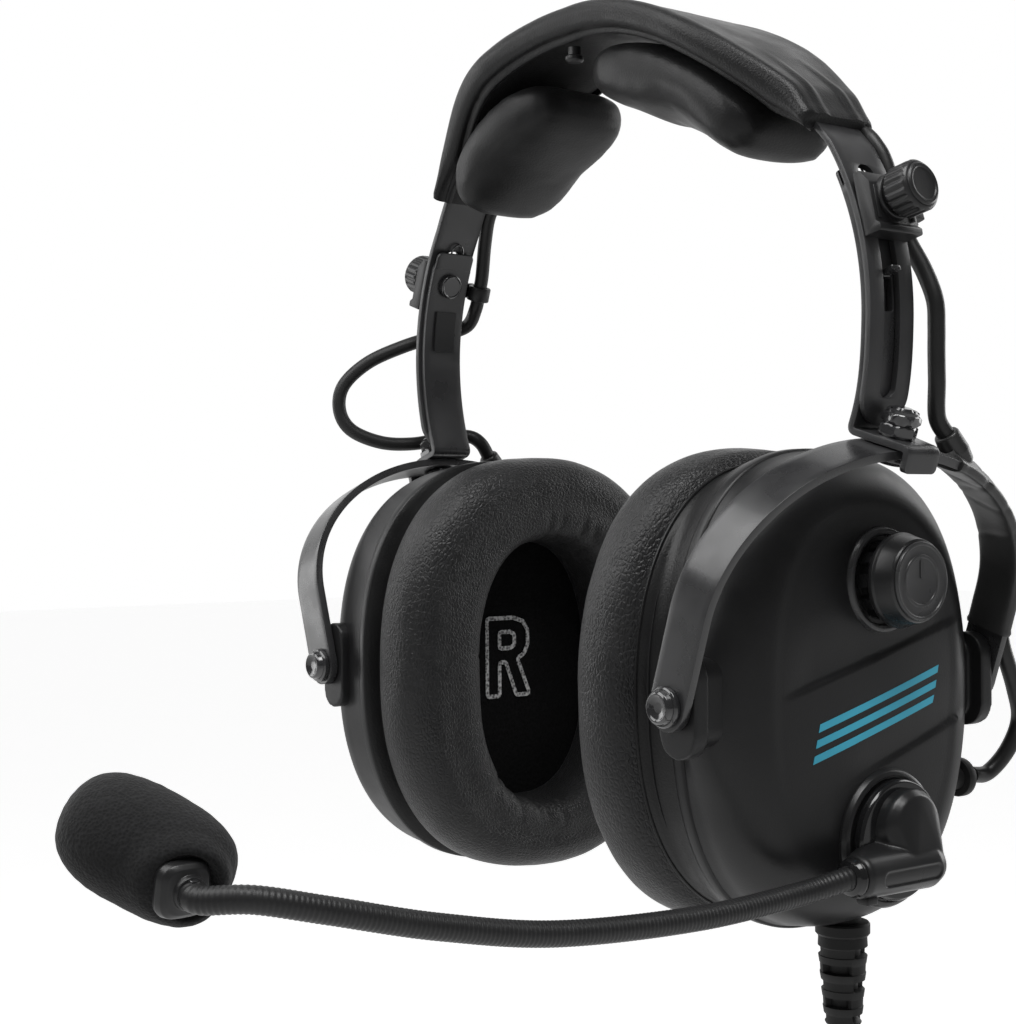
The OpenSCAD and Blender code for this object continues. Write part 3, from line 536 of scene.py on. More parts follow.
def leather(name, color, roughness, pore=1.1, depth=0.07, creases=None, spec=0.3):
    """Leatherette: pebbled cells, fine pores and, where given, creases across the piece."""
    m = Finish(name, color, roughness, spec)
    m.shader.inputs["Sheen Weight"].default_value = 0.03
    m.shader.inputs["Sheen Roughness"].default_value = 0.4
    cloud = m.noise(11.0, 4.0)
    m.shade(cloud, 0.25)
    m.gloss(cloud, roughness - 0.07, roughness + 0.08)
    cell = m.cells(pore, wobble=0.5, place=m.uv((0.6, 1.0)) if creases else None)
    m.relief(m.remap(cell, 0.0, 0.25), depth)
    m.relief(m.noise(0.4, 2.0), depth * 0.35)
    if creases:
        across, run, deep, low, high = creases
        fold = m.noise(1.0, 3.0, place=m.uv((1 / across, 1 / run)), distortion=0.3)
        ridge = m.math("ABSOLUTE", m.math("SUBTRACT", fold, 0.5))
        where = m.remap(m.noise(16.0, 2.0), low, high)
        m.relief(m.math("MULTIPLY", m.remap(ridge, 0.0, 0.1), where), deep)
    return m.material


def ribbed(name, color, roughness):
    m = Finish(name, color, roughness, 0.35)
    m.shade(m.noise(6.0, 3.0), 0.25)
    m.relief(m.noise(0.4, 2.0), 0.01)
    return m.material


cup_mat = moulded("cup_plastic", (0.0095, 0.0095, 0.010), 0.4, 0.42, 0.028, spec=0.34)
knob_mat = moulded("knob_plastic", (0.014, 0.014, 0.0145), 0.3, 0.3, 0.008, spec=0.4)
gloss_mat = moulded("gloss_plastic", (0.010, 0.010, 0.0105), 0.12, 0.8, 0.003, spec=0.5)
block_mat = moulded("block_plastic", (0.013, 0.013, 0.0135), 0.36, 0.35, 0.012, spec=0.35)
rubber_mat = moulded("rubber", (0.010, 0.010, 0.010), 0.52, 0.3, 0.015, spec=0.28)
jacket_mat = moulded("cable_jacket", (0.012, 0.012, 0.012), 0.42, 0.5, 0.01, spec=0.35, patch=20)
sleeve_mat = moulded("shrink_sleeve", (0.02, 0.02, 0.02), 0.36, 0.5, 0.02, spec=0.5)
strip_mat = steel("spring_steel", (0.025, 0.025, 0.026), 0.34, spec=0.6, depth=0.006)
arm_mat = steel("arm_steel", (0.022, 0.022, 0.023), 0.3, spec=0.6, depth=0.006)
band_mat = steel("yoke_steel", (0.02, 0.02, 0.021), 0.27, spec=0.6, coat=0.1, peel=2.2, depth=0.006)
dark_steel = steel("bolt_steel", (0.02, 0.02, 0.021), 0.16, spec=0.7, coat=0.4)
brass_mat = steel("plated_brass", (0.78, 0.56, 0.24), 0.2, metallic=1.0)
seal_mat = leather("seal_leatherette", (0.0115, 0.0115, 0.012), 0.43, 0.9, 0.09,
                   creases=(2.2, 1.1, 0.07, 0.35, 0.65), spec=0.36)
# the skirt's leatherette: smoother than the cushion's, and darker as painted shade of the recess between the
# cushion and the cup; the seam piping uses it too
skirt_painted_shade_mat = leather("skirt_leatherette_painted_shade", (0.007, 0.007, 0.0072), 0.36, 0.9, 0.02, spec=0.3)
pad_mat = leather("pad_leatherette", (0.009, 0.009, 0.0093), 0.42, 1.0, 0.018, spec=0.24)
cover_mat = leather("cover_leatherette", (0.008, 0.008, 0.0083), 0.38, 0.8, 0.03, spec=0.26)
neck_mat = ribbed("gooseneck_tube", (0.016, 0.016, 0.0165), 0.42)
# the knob face's plastic: a lighter copy of the knob plastic, its lighter colour being painted light on the knob's
# face and on the volume bezel
painted_light_face_mat = moulded("knob_face", (0.034, 0.034, 0.035), 0.3, 0.3, 0.008, spec=0.45)
accent_mat = moulded("accent_print", (0.05, 0.36, 0.5), 0.5, 0.4, 0.01, spec=0.3)


def foam_finish():
    m = Finish("open_cell_foam", (0.011, 0.011, 0.0115), 0.85, 0.15)
    m.shader.inputs["Sheen Weight"].default_value = 0.08
    m.shader.inputs["Sheen Roughness"].default_value = 0.6
    cell = m.cells(0.6, "F1", wobble=0.4)
    m.shade(cell, 0.45)
    m.relief(cell, 0.13)
    m.relief(m.noise(1.6, 3.0), 0.03)
    return m.material


def cloth_finish():
    m = Finish("acoustic_cloth", (0.004, 0.004, 0.0042), 0.9, 0.15)
    cell = m.cells(0.9, "F1", wobble=0.3)
    m.shade(cell, 0.5)
    m.relief(cell, 0.2)
    return m.material


def print_finish():
    """Pale ink printed on the cloth, broken up by its cells."""
    m = Finish("side_letter_ink", (0.33, 0.33, 0.33), 0.8, 0.2)
    speck = m.remap(m.cells(0.8, "F1"), 0.2, 0.75)
    m.shade(speck, 0.75)
    m.relief(m.cells(0.9, "F1"), 0.15)
    return m.material


foam_mat, cloth_mat, ink_mat = foam_finish(), cloth_finish(), print_finish()


# ---------------------------------------------------------------- camera, floor and light


# the photograph's view in degrees, what it looks at and from how far, and its lens in pixels
AZIMUTH, ELEVATION, ROLL = 52.26, -0.01, -0.38
VIEW_AT, VIEW_FROM = np.array([-51.943, 0, 40.819]), 490.496
FOCAL_PX, FRAME_PX, SENSOR = 1752.17, 1024, 36


def camera():
    azimuth, elevation, roll = rad(AZIMUTH), rad(ELEVATION), rad(ROLL)
    back = np.array([sin(azimuth) * cos(elevation), -cos(azimuth) * cos(elevation), sin(elevation)])
    right = np.array([cos(azimuth), sin(azimuth), 0])
    up = np.cross(back, right)
    right, up = cos(roll) * right + sin(roll) * up, cos(roll) * up - sin(roll) * right
    data = bpy.data.cameras.new("camera")
    data.sensor_width, data.sensor_fit = SENSOR, "AUTO"
    data.lens = FOCAL_PX * SENSOR / FRAME_PX
    data.clip_start = 0.01
    ob = bpy.data.objects.new("camera", data)
    m = frame4((VIEW_AT + VIEW_FROM * back) / 1000, right, up, back)
    ob.matrix_world = Matrix(m.tolist())
    bpy.context.scene.collection.objects.link(ob)
    bpy.context.scene.camera = ob
    return back, right, up


def floor(low):
    """A wide pale floor just under the lowest piece."""
    half = 6.0
    mesh = bpy.data.meshes.new("floor")
    corners = [(-half, -half), (half, -half), (half, half), (-half, half)]
    mesh.from_pydata([(x, y, low / 1000) for x, y in corners], [], [(0, 1, 2, 3)])
    ob = bpy.data.objects.new("floor", mesh)
    bpy.context.scene.collection.objects.link(ob)
    m = Finish("floor_paper", (0.9, 0.9, 0.9), 0.8, 0.2)
    m.shade(m.noise(60.0, 3.0), 0.015)
    path = m.node("LightPath")
    shine = m.math("MAXIMUM", path.outputs["Is Glossy Ray"], path.outputs["Is Transmission Ray"])
    seen = m.math("MAXIMUM", path.outputs["Is Camera Ray"], m.math("MULTIPLY", shine, 0.3))
    m.set(m.shader, {"Emission Color": (1, 1, 1, 1), "Emission Strength": m.math("MULTIPLY", seen, 0.6)})
    mesh.materials.append(m.material)


# how far round to the back the world turns from dark to light, and its levels
DARK_TO, LIGHT_FROM, DARK, LIGHT = 0.3, 0.95, 0.10, 1.0
DIFFUSE_LEVEL = 0.4


def world(back):
    """White behind the object and above it, darker on the camera's side, as in a studio."""
    w = bpy.data.worlds.new("studio")
    bpy.context.scene.world = w
    w.use_nodes = True
    t = w.node_tree
    t.nodes.clear()
    new, link = t.nodes.new, t.links.new
    out, bg = new("ShaderNodeOutputWorld"), new("ShaderNodeBackground")
    link(bg.outputs[0], out.inputs[0])
    path, place = new("ShaderNodeLightPath"), new("ShaderNodeTexCoord")
    dot = new("ShaderNodeVectorMath")
    dot.operation = "DOT_PRODUCT"
    link(place.outputs["Generated"], dot.inputs[0])
    dot.inputs[1].default_value = tuple(unit(np.array([-back[0], -back[1], 0.12])))
    ramp = new("ShaderNodeMapRange")
    ramp.interpolation_type = "SMOOTHSTEP"
    link(dot.outputs["Value"], ramp.inputs[0])
    for k, value in enumerate((DARK_TO, LIGHT_FROM, DARK, LIGHT), 1):
        ramp.inputs[k].default_value = value

    def pick(a, b, factor):
        mix = new("ShaderNodeMix")
        for k, value in ((2, a), (3, b), (0, factor)):
            if isinstance(value, float):
                mix.inputs[k].default_value = value
            else:
                link(value, mix.inputs[k])
        return mix.outputs[0]

    shine = new("ShaderNodeMath")
    shine.operation = "MAXIMUM"
    link(path.outputs["Is Glossy Ray"], shine.inputs[0])
    link(path.outputs["Is Transmission Ray"], shine.inputs[1])
    level = pick(DIFFUSE_LEVEL, ramp.outputs[0], shine.outputs[0])
    level = pick(level, 1.0, path.outputs["Is Camera Ray"])
    bg.inputs["Color"].default_value = (1, 1, 1, 1)
    link(level, bg.inputs["Strength"])


def lamp(name, place, aim, width, watts, height):
    data = bpy.data.lights.new(name, "AREA")
    data.energy, data.size = watts, width / 1000
    data.shape, data.size_y = "RECTANGLE", height / 1000
    ob = bpy.data.objects.new(name, data)
    z = unit(np.asarray(place, float) - np.asarray(aim, float))
    x = unit(np.cross((0, 0, 1) if abs(z[2]) < 0.95 else (0, 1, 0), z))
    ob.matrix_world = Matrix(frame4(np.asarray(place, float) / 1000, x, np.cross(z, x), z).tolist())
    bpy.context.scene.collection.objects.link(ob)


back, right, up = camera()
world(back)
LAMP_AIM = np.array([0, 0, 30.0])
# name, then its place to the camera's right, up and towards the camera, its width, power and height
LAMPS = (
    ("key", -320, 380, 120, 360, 1.8, 420),
    ("top", 80, 505, 280, 280, 2.3, 280),
    ("rim_left", -560, 120, -240, 220, 0.9, 480),
    ("rim_right", 520, 160, -260, 200, 0.9, 480),
)
for name, a, b, c, width, watts, height in LAMPS:
    lamp(name, LAMP_AIM + a * right + b * up + c * back, LAMP_AIM, width, watts, height)
scene = bpy.context.scene
scene.view_settings.view_transform = "Standard"

# ---------------------------------------------------------------- cords


def cord(name, path, d, body, mat, slot, stands_for=(), hint=(0, 0, 1),
         lean=False, blend=None):
    """A cord along path; where blend is given, it rides on neither of the bodies that blend names and its place is
    baked into its mesh.
    """
    path = crown_lean(path) if lean else path
    ob = make(name, tube(path, d, 16, hint=hint), mat, None if blend else body, slot=slot, stands_for=stands_for)
    if blend:
        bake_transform(ob)
    return ob


PITCH, COIL_R, TURNS = CORD_D + 0.8, 31.0, 3
COIL_OUT = COIL_R + TURNS * PITCH / 2
COIL_C = np.array([RELIEF[0], RELIEF[1] + COIL_OUT, RELIEF[2] - 74])


def coil_at(s):
    m = s if s < TURNS else 2 * TURNS - s
    r, a = COIL_OUT - PITCH * m, pi + 2 * pi * s
    return COIL_C + np.array([PITCH * (ease(s - TURNS + 0.5) - 0.5), r * cos(a), r * sin(a)])


def main_cord():
    x, y, top = RELIEF[0], RELIEF[1], RELIEF[2] - 24
    drop = [(x, y, top + 4), (x, y, top - 8), (x - 1.4, y, top - 22), (x - 3, y, top - 36)]
    turns = [coil_at(s) for s in np.arange(0, 5.7501, 1 / 36)]
    tail = [COIL_C + q for q in ((5.4, -11, 37.4), (8.8, -20, 31.6), (10.6, -26, 22.5), (10.6, -27, 12))]
    route = spline([*drop, *turns, *tail], 2.0)
    split = COIL_C + np.array([10.6, -27, 11.7])
    collar = lathe([(0.01, 0), (2.9, 0), (3.3, -0.4), (3.8, -5), (4.2, -10.4), (0.01, -10.6)], 32)
    wide = prism(stadium(2.6, 4.2), -24, -9.9)
    ribs = [prism(stadium(2.6, 4.5), z - 0.5, z + 0.5) for z in (-13, -16, -19)]
    yoke = make("cord_split_boot", put(join([collar, wide, *ribs]), moved(split)),
                rubber_mat, "cup_left", slot="rubber", stands_for="cord_split", bevel=0.5)
    w, d = TURNS * PITCH + CORD_D + 1.2, PITCH + CORD_D + 1.2
    at = moved(COIL_C + [0, COIL_R, 0])
    outline = fillet([(-d / 2 - 0.6, -w / 2 - 0.6), (d / 2 + 0.6, -w / 2 - 0.6), (d / 2 + 0.6, w / 2 + 0.6),
                      (-d / 2 - 0.6, w / 2 + 0.6)], 2.5, 5, True)
    loop = np.r_[outline, outline[:1]]
    strap = [np.c_[loop, np.full(len(loop), z)] for z in np.linspace(-5.6, 5.6, 6)]
    tie = make("cord_tie_strap", put(grid(np.array(strap)), at), rubber_mat, "cup_left", slot="rubber",
               stands_for="cord_tie", thick=1.1)
    cord("main_cord", route, CORD_D, "cup_left", jacket_mat, "cord_jacket",
         ("cord_drop", "cord_coil"), (1, 0, 0))
    for word, k, l, r_pin in (("phones", -1, 98, 6.35), ("mic", 1, 102, 5.23)):
        spread = ((2.6, -2), (2.6, 0.3), (2.6, 4.4), (5.2, 24), (9.4, 48), (11.8, 72), (12, l - 4.7), (12, l))
        pts = [split + np.array([0, k * a, -24 - b]) for a, b in spread]
        end = pts[-1] - [0, 0, 0.3]
        at = moved(end)
        relief = lathe([(0.01, 0), (2.4, 0), *[(2.8 + 0.12 * i + 0.35 * (i % 2), -0.3 - i) for i in range(14)],
                        (0.01, -14.2)], 32)
        grip = lathe([(0.01, -13.9), *fillet([(5.2, -14), (6.4, -15), (6.4, -39), (5.5, -40.2), (5.5, -43)], 0.8),
                      (0.01, -43)], 48, lambda th, r,
                     z: r - (0.25 * (cos(12 * th) > 0.2) if -36 < z < -18 and r > 6 else 0))
        rings = [lathe([(6.2, z), (6.5, z - 0.3), (6.5, z - 0.9), (6.2, z - 1.2)], 48) for z in (-17, -36.5)]
        plug = make(f"{word}_plug_handle", put(join([relief, grip, *rings]), at), block_mat, "cup_left",
                    slot="black_plastic", stands_for=f"plug_{word}")
        q = r_pin / 2
        pin = [(0.01, -42.6), (q, -42.7), (q, -67), (q * 0.9, -67.2), (q * 0.62, -68.2), (q * 0.62, -69.4),
               (q * 0.72, -69.8), (q * 0.86, -70.8), (q * 0.84, -71.4), (q * 0.5, -73.1), (q * 0.2, -73.5),
               (0.01, -73.5)]
        rings = [disc(r_pin + 0.02, z - 0.7, z, 0.05, 48) for z in (-50.0, -58.0)]
        jack = make(f"{word}_jack_pin", put(lathe(fillet(pin, 0.15, 2), 48), at), brass_mat, "cup_left",
                    slot="plated_brass", stands_for=f"jack_{word}", sharp=50)
        band = make(f"{word}_jack_rings", put(join(rings), at), block_mat, "cup_left", slot="black_plastic")
        cord(f"{word}_leg", spline(pts, 1.5), 3.8, "cup_left", jacket_mat, "cord_jacket",
             f"cord_{word}", (1, 0, 0))
    return split


main_cord()

# ---------------------------------------------------------------- plates bent along a path


def ribbon(places, half, hole=None):
    """A plate's middle surface: its half width and the half width of any hole at each place."""
    rows = []
    for k, m in enumerate(places):
        w = half[k]
        h = hole[k] if hole is not None and hole[k] > 0 else w / 3
        ys = np.array([-w, -(w + h) / 2, -h, h, (w + h) / 2, w])
        rows.append(m[:3, 3] + ys[:, None] * m[:3, 1])
    p = np.array(rows)
    v, f = grid(p)
    if hole is not None:
        n = p.shape[1]
        gone = {i * n + 2 for i in range(len(places) - 1) if hole[i] > 0 and hole[i + 1] > 0}
        f = [q for q in f if q[0] not in gone]
    return v, f


def path_places(points, across=(0, 1, 0)):
    """Places along a flat path, x to its left and y across it."""
    p = np.asarray(points, float)
    t = np.gradient(p, axis=0)
    return [frame4(q, unit(np.cross(across, unit(d))), across, -unit(d)) for q, d in zip(p, t)]


def round_end(s, end, r):
    """Half width r of a plate whose round end is at end."""
    return np.sqrt(np.clip(r * r - np.clip(np.abs(s - end + r * np.sign(end - s)), 0, r) ** 2, 0.0, None))


def slot_half(s, a, b, r, corner=None):
    """Half width of a slot from a to b, with its ends rounded to radius corner."""
    c = corner or r
    d = np.minimum(s - a, b - s)
    edge = r - c + np.sqrt(np.clip(c * c - np.clip(c - d, 0, c) ** 2, 0, None))
    return np.where(d <= 0, 0.0, np.maximum(np.where(d >= c, r, edge), 0.03))


def dense(a, b, marks, fine, near):
    """Samples from a to b, close together near each mark."""
    out, s, coarse = [a], a, 1.6
    while s < b - 1e-6:
        gap = min([abs(s + fine / 2 - m) for m in marks] + [99])
        s = min(b, s + (fine if gap < near else coarse))
        out.append(s)
    return np.array(out)


def headband_strip():
    ends = (SLOT_FROM, SLOT_FROM + SLOT_LEN)
    s = dense(0, STRIP_END, [ends[0] + 1, ends[1] - 1, STRIP_END - 1.5], near=2.2, fine=0.2)
    side = [at_slot(q) for q in s]
    half = np.where(s > STRIP_END - STRIP_W / 2, round_end(s, STRIP_END, STRIP_W / 2), STRIP_W / 2)
    half[-1] = 0.4
    hole = slot_half(s, *ends, SLOT_W / 2)
    crown = []
    for a in np.linspace(0, CROWN_ARC, 40)[:-1]:
        out = np.array([sin(rad(a)), 0, cos(rad(a))])
        crown.append(frame4(C0 + CROWN_R * out, out, (0, 1, 0), (-out[2], 0, out[0])))
    places = crown + side
    half, hole = np.r_[np.full(len(crown), STRIP_W / 2), half], np.r_[np.zeros(len(crown)), hole]
    far = []
    for m in places[:0:-1]:
        q = m.copy()
        q[0] *= -1
        q[:3, 1] = (0, 1, 0)
        far.append(q)
    make("spring_strip", ribbon(far + places, np.r_[half[:0:-1], half], np.r_[hole[:0:-1], hole]), strip_mat,
         "headband", slot="spring_steel", stands_for="headband_strip", lean=True, thick=STRIP_T, bevel=0.28)


# ---------------------------------------------------------------- padded headband


def closed_curve(points, n):
    """n points on a smooth closed curve."""
    p = np.asarray(points, float)
    k = len(p)
    fine = []
    for i in range(k):
        a, b, c, d = p[i - 1], p[i], p[(i + 1) % k], p[(i + 2) % k]
        t = np.linspace(0, 1, 20, endpoint=False)[:, None]
        fine.append(catmull(a, b, c, d, t))
    fine = np.concatenate([*fine, [p[0]]])
    dist = run_of(fine)
    at = np.linspace(0, dist[-1], n, endpoint=False)
    return resample(fine, dist, at)


def cover_half(a):
    return 11.8 + (21 - 11.8) * ease((COVER_END - abs(a)) / 30)


def cover_section(w):
    """Across and over the strip's middle: piping along the edges over a waist and a lower lip."""
    near = [(w - 6.4, 4.2), (w - 4.2, 4.3), (w - 2.2, 4.2), (w - 0.8, 3.4), (w - 0.1, 1.8), (w - 0.15, 0.1),
            (w - 0.9, -1.6), (w - 2.3, -2.5), (w - 3.4, -2.5), (w - 3.7, -2.9), (w - 4.0, -3.7), (w - 4.8, -4.0),
            (w - 5.5, -3.6), (w - 5.9, -2.9), (w - 7.4, -3.2)]
    return closed_curve([(0, 4.2), *near, (0, -3.5), *[(-y, q) for y, q in near[::-1]]], 168)


def headband_cover():
    steps, rings = 150, []
    for i in range(steps + 1):
        a = -COVER_END + 2 * COVER_END * i / steps
        end = COVER_END - abs(a)
        sec = cover_section(cover_half(a))
        shrink = 1 - 0.10 * (1 - ease(end / 0.9))
        y, q = sec[:, 0] * (1 - 0.04 * (1 - ease(end / 0.9))), sec[:, 1] * shrink
        top = ease((q - 1.5) / 2)
        # two ridges run off each end, over the strip's edges
        q = q + 0.5 * ease((20 - end) / 12) * top * (bump_of(y, -5.4, 2.4) + bump_of(y, 5.4, 2.4) - 0.5)
        # the lower flap runs on past the end of the top
        slide = np.sign(a) * (2.2 - q) * 0.12 * ease((7 - end) / 7)
        q = q * np.where(q < 0, 1 - 0.6 * ease((9 - end) / 8), 1 - 0.4 * ease((8 - end) / 8))
        ang, r = rad(a) + slide / CROWN_R, CROWN_R + q
        rings.append(np.stack([r * sin(ang), y, C0[2] + r * cos(ang)], 1))
    p = np.array(rings)
    v = p.reshape(-1, 3)
    out = v - [0, 0, C0[2]]
    out[:, 1] *= 0.3
    v = v + units(out) * (0.16 * rough(v, 15, 3) + 0.05 * rough(v, 5, 7))[:, None]
    make("headband_cover_sleeve", grid(v.reshape(p.shape), wrap_v=True, caps=True), cover_mat, "headband",
         slot="cover_leatherette", stands_for="headband_cover", lean=True, sharp=60)
    a = np.linspace(-COVER_END, COVER_END, 60)
    lead = np.stack([CROWN_R * sin(rad(a)), np.full(60, 9.5), C0[2] + CROWN_R * cos(rad(a))], 1)
    make("crossover_lead_inside", tube(lead, LEAD_D, 12, hint=(0, 1, 0)), jacket_mat, "headband",
         slot="lead_jacket", stands_for="crossover_lead", lean=True)


PAD_W, PAD_Y = 38.0, 3.0
PAD_R = CROWN_R - STRIP_T / 2 - 0.3 - 3.4 - 0.3


def head_pad(side, word, seed, middle, arc, thick, full, belly):
    """A pillow arc degrees to each side of middle; full squares off its ends and belly fills it out."""
    m, n = 96, 96
    rings = []
    for i in range(m + 1):
        u = -cos(pi * (0.015 + 0.97 * i / m))
        f = (1 - abs(u) ** full) ** (1 / full)
        a = rad(middle + u * arc)
        th = around(n)
        w, t = PAD_W / 2 * (0.3 + 0.7 * f), thick / 2 * f
        e = np.where(sin(th) > 0, 2 / 4.5, 2 / 2.6)
        y = w * power(cos(th), e)
        q = t * power(sin(th), e)
        # the pad is fuller on the head's side and pulled in along its middle
        under = ease(-q / 4)
        q = q + under * (0.3 * bump_of(y, 3, 10) * bump_of(u, 0.1, 0.8) - belly * bump_of(u, -0.3, 0.5))
        r = PAD_R - thick / 2 + q
        rings.append(np.stack([r * sin(a), y + PAD_Y, C0[2] + r * cos(a)], 1))
    p = np.array(rings)
    v = p.reshape(-1, 3)
    centre = v.mean(0)
    out = units((v - centre) * [1, 0.6, 1])
    ang = np.degrees(np.arctan2(v[:, 0], v[:, 2] - C0[2]))
    # loose folds where the leatherette is gathered at the pad's upper end
    upper = ease((middle - 4 - ang) / 16)
    fold = noise_folds(v, ang, seed)
    v = v + out * (0.40 * rough(v, 16, seed) + 0.08 * rough(v, 5, seed + 9) + 0.26 * upper * fold)[:, None]
    ob = make(f"head_pad_{word}_cushion", grid(v.reshape(p.shape), wrap_v=True, caps=True), pad_mat, "headband",
              side, "leatherette", f"head_pad_{word}", lean=True, sharp=80)
    swell(ob, 1.8)


def noise_folds(v, ang, seed):
    """Narrow folds that fan out from the pad's upper end."""
    along_arc = ang * 1.35
    return np.array([abs(noise.noise((a / 9 + seed, (q[1] + 0.35 * a) / 2.0, seed))) * 2 - 0.6
                     for a, q in zip(along_arc, v)])


def cover_stud():
    x, y, z = -5.0, -21 + 7.0, float(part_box("cover_stud")[1][2]) * 1000
    profile = fillet([(0.01, -4), (1.7, -4), (2.4, -3.4), (2.4, -2.5), (1.7, -2.2), (1.7, 0), (0.01, 0)], 0.3)
    make("cover_snap_stud", put(lathe(profile, 40), moved((x, y, z))), block_mat, "headband",
         slot="black_steel", stands_for="cover_stud", lean=True)


# ---------------------------------------------------------------- height adjusters


def yoke_place(x, z):
    return (AT_YOKE @ np.array([x, 0.0, z, 1.0]))[:3]


def arms():
    top_s, tab_s = STUD_S - 6.6, STUD_S + 15.4
    angles = np.linspace(CROWN_ARC, 118, 1200)
    arc = C1 + ARM_R * np.stack([sin(rad(angles)), 0 * angles, cos(rad(angles))], 1)
    height = (arc - [PIVOT_X, 0, 0]) @ AT_YOKE[:3, 2]
    foot = FOOT_Z + ARM_T / 2
    k = int(np.argmax(height < foot))
    corner = arc[k]
    s_at = (rad(angles) - rad(CROWN_ARC)) * SLOT_R
    s = dense(top_s, s_at[k] - 3.2, [tab_s + 0.6, tab_s + 7.4, tab_s - 4.8, tab_s + 2], fine=0.2, near=1.4)
    arc_pts = [C1 + ARM_R * np.array([sin(rad(CROWN_ARC) + q / SLOT_R), 0, cos(rad(CROWN_ARC) + q / SLOT_R)])
               for q in s]
    x_in = float((corner - [PIVOT_X, 0, 0]) @ AT_YOKE[:3, 0])
    turn = fillet([arc_pts[-1], corner, yoke_place((x_in + 7.6) / 2, foot), yoke_place(7.6, foot),
                   yoke_place(7.6, 55.4), yoke_place(7.6, 53.5)], [0, 2.2, 0, 1.4, 0, 0], 7)
    pts = np.concatenate([arc_pts, turn[1:]])
    tail = np.array([yoke_place(7.6, z) for z in (55.0, 54.6, 54.3, 54.0, 53.8, 53.6, 53.5)])
    pts = np.concatenate([pts[:-2], tail])
    dist = run_of(pts)
    end = dist[-1]
    foot_from = dist[len(arc_pts)]
    half = ARM_W / 2 - 1.2 * ease((dist - foot_from - 8) / 5)
    half = half - 1.3 * (1 - np.sqrt(np.clip(1 - np.clip((1.3 - (end - dist)) / 1.3, 0, 1) ** 2, 0, 1)))
    half = half - 0.9 * (1 - np.sqrt(np.clip(1 - np.clip((0.9 - dist) / 0.9, 0, 1) ** 2, 0, 1)))
    for side, word, up in ((1, "left", 0.0), (-1, "right", 5.4)):
        hole = slot_half(dist, tab_s - top_s - up, tab_s - top_s + 8 - up, 2.2, 0.7)
        make(f"hanger_arm_{word}", ribbon(path_places(pts), half, hole), arm_mat, f"slider_{word}", side,
             "spring_steel", f"arm_{word}", lean=True, thick=ARM_T, bevel=0.3, segments=3)
        # a dark plate just inside each arm's window, as painted shade: it stands for the shade seen through the
        # window and the strip's slot
        window_shade_places = [at_slot(q) @ moved((-3.1, 0, 0)) for q in np.linspace(tab_s - up - 2, tab_s - up + 10, 14)]
        make(f"arm_window_shade_plate_{word}", ribbon(window_shade_places, np.full(14, 3.4)), block_mat, f"slider_{word}", side,
             "black_plastic", lean=True, thick=0.5)
    # folded hem over the top edge, with the wire loop behind it
    s = np.linspace(top_s - 3.4, top_s + 1.6, 22)
    d = np.minimum(s - s[0], 1.6)
    half = 6.3 - 1.6 * (1 - np.sqrt(np.clip(1 - ((1.6 - d) / 1.6) ** 2, 0, 1)))
    hem = [at_slot(q) @ moved((-2.3, 0, 0)) for q in s]
    both("arm_hem", ribbon(hem, half), arm_mat, "slider", slot="spring_steel", lean=True, thick=0.8, bevel=0.2)
    a = np.linspace(0, pi, 18)
    loop = np.stack([0 * a - 2.5, 2.0 * cos(a) + 0.6, 9.6 + 2.6 * sin(a)], 1)
    hook = np.array([(-3.2, -1.3, -15.0), (-2.4, -1.3, -15.9), (-1.9, 0, -16.1), (-2.4, 1.3, -15.9),
                     (-3.2, 1.3, -15.0)])
    wire = [put(tube(spline(loop, 0.4), 0.55, 8, hint=(1, 0, 0)), at_slot(STUD_S))]
    tab = [put(tube(spline(hook, 0.3), 0.7, 8, hint=(1, 0, 0)), at_slot(STUD_S)),
           put(block((-2.4, 0.9), (-1.4, 1.4), (-15.9, -14.8), 0.2), at_slot(STUD_S))]
    both("arm_wire_loop", wire, dark_steel, "slider", slot="black_steel", lean=True)
    both("arm_hook_tab", tab, dark_steel, "slider", slot="black_steel", lean=True, bevel=0.15)


def hull_of(points):
    bm = bmesh.new()
    for p in points:
        bm.verts.new(p)
    got = bmesh.ops.convex_hull(bm, input=bm.verts)
    spare = {g for g in got["geom_interior"] + got["geom_unused"] if isinstance(g, bmesh.types.BMVert)}
    bmesh.ops.delete(bm, geom=list(spare), context="VERTS")
    bm.verts.index_update()
    v = np.array([q.co for q in bm.verts])
    f = [tuple(q.index for q in face.verts) for face in bm.faces]
    bm.free()
    return v, f


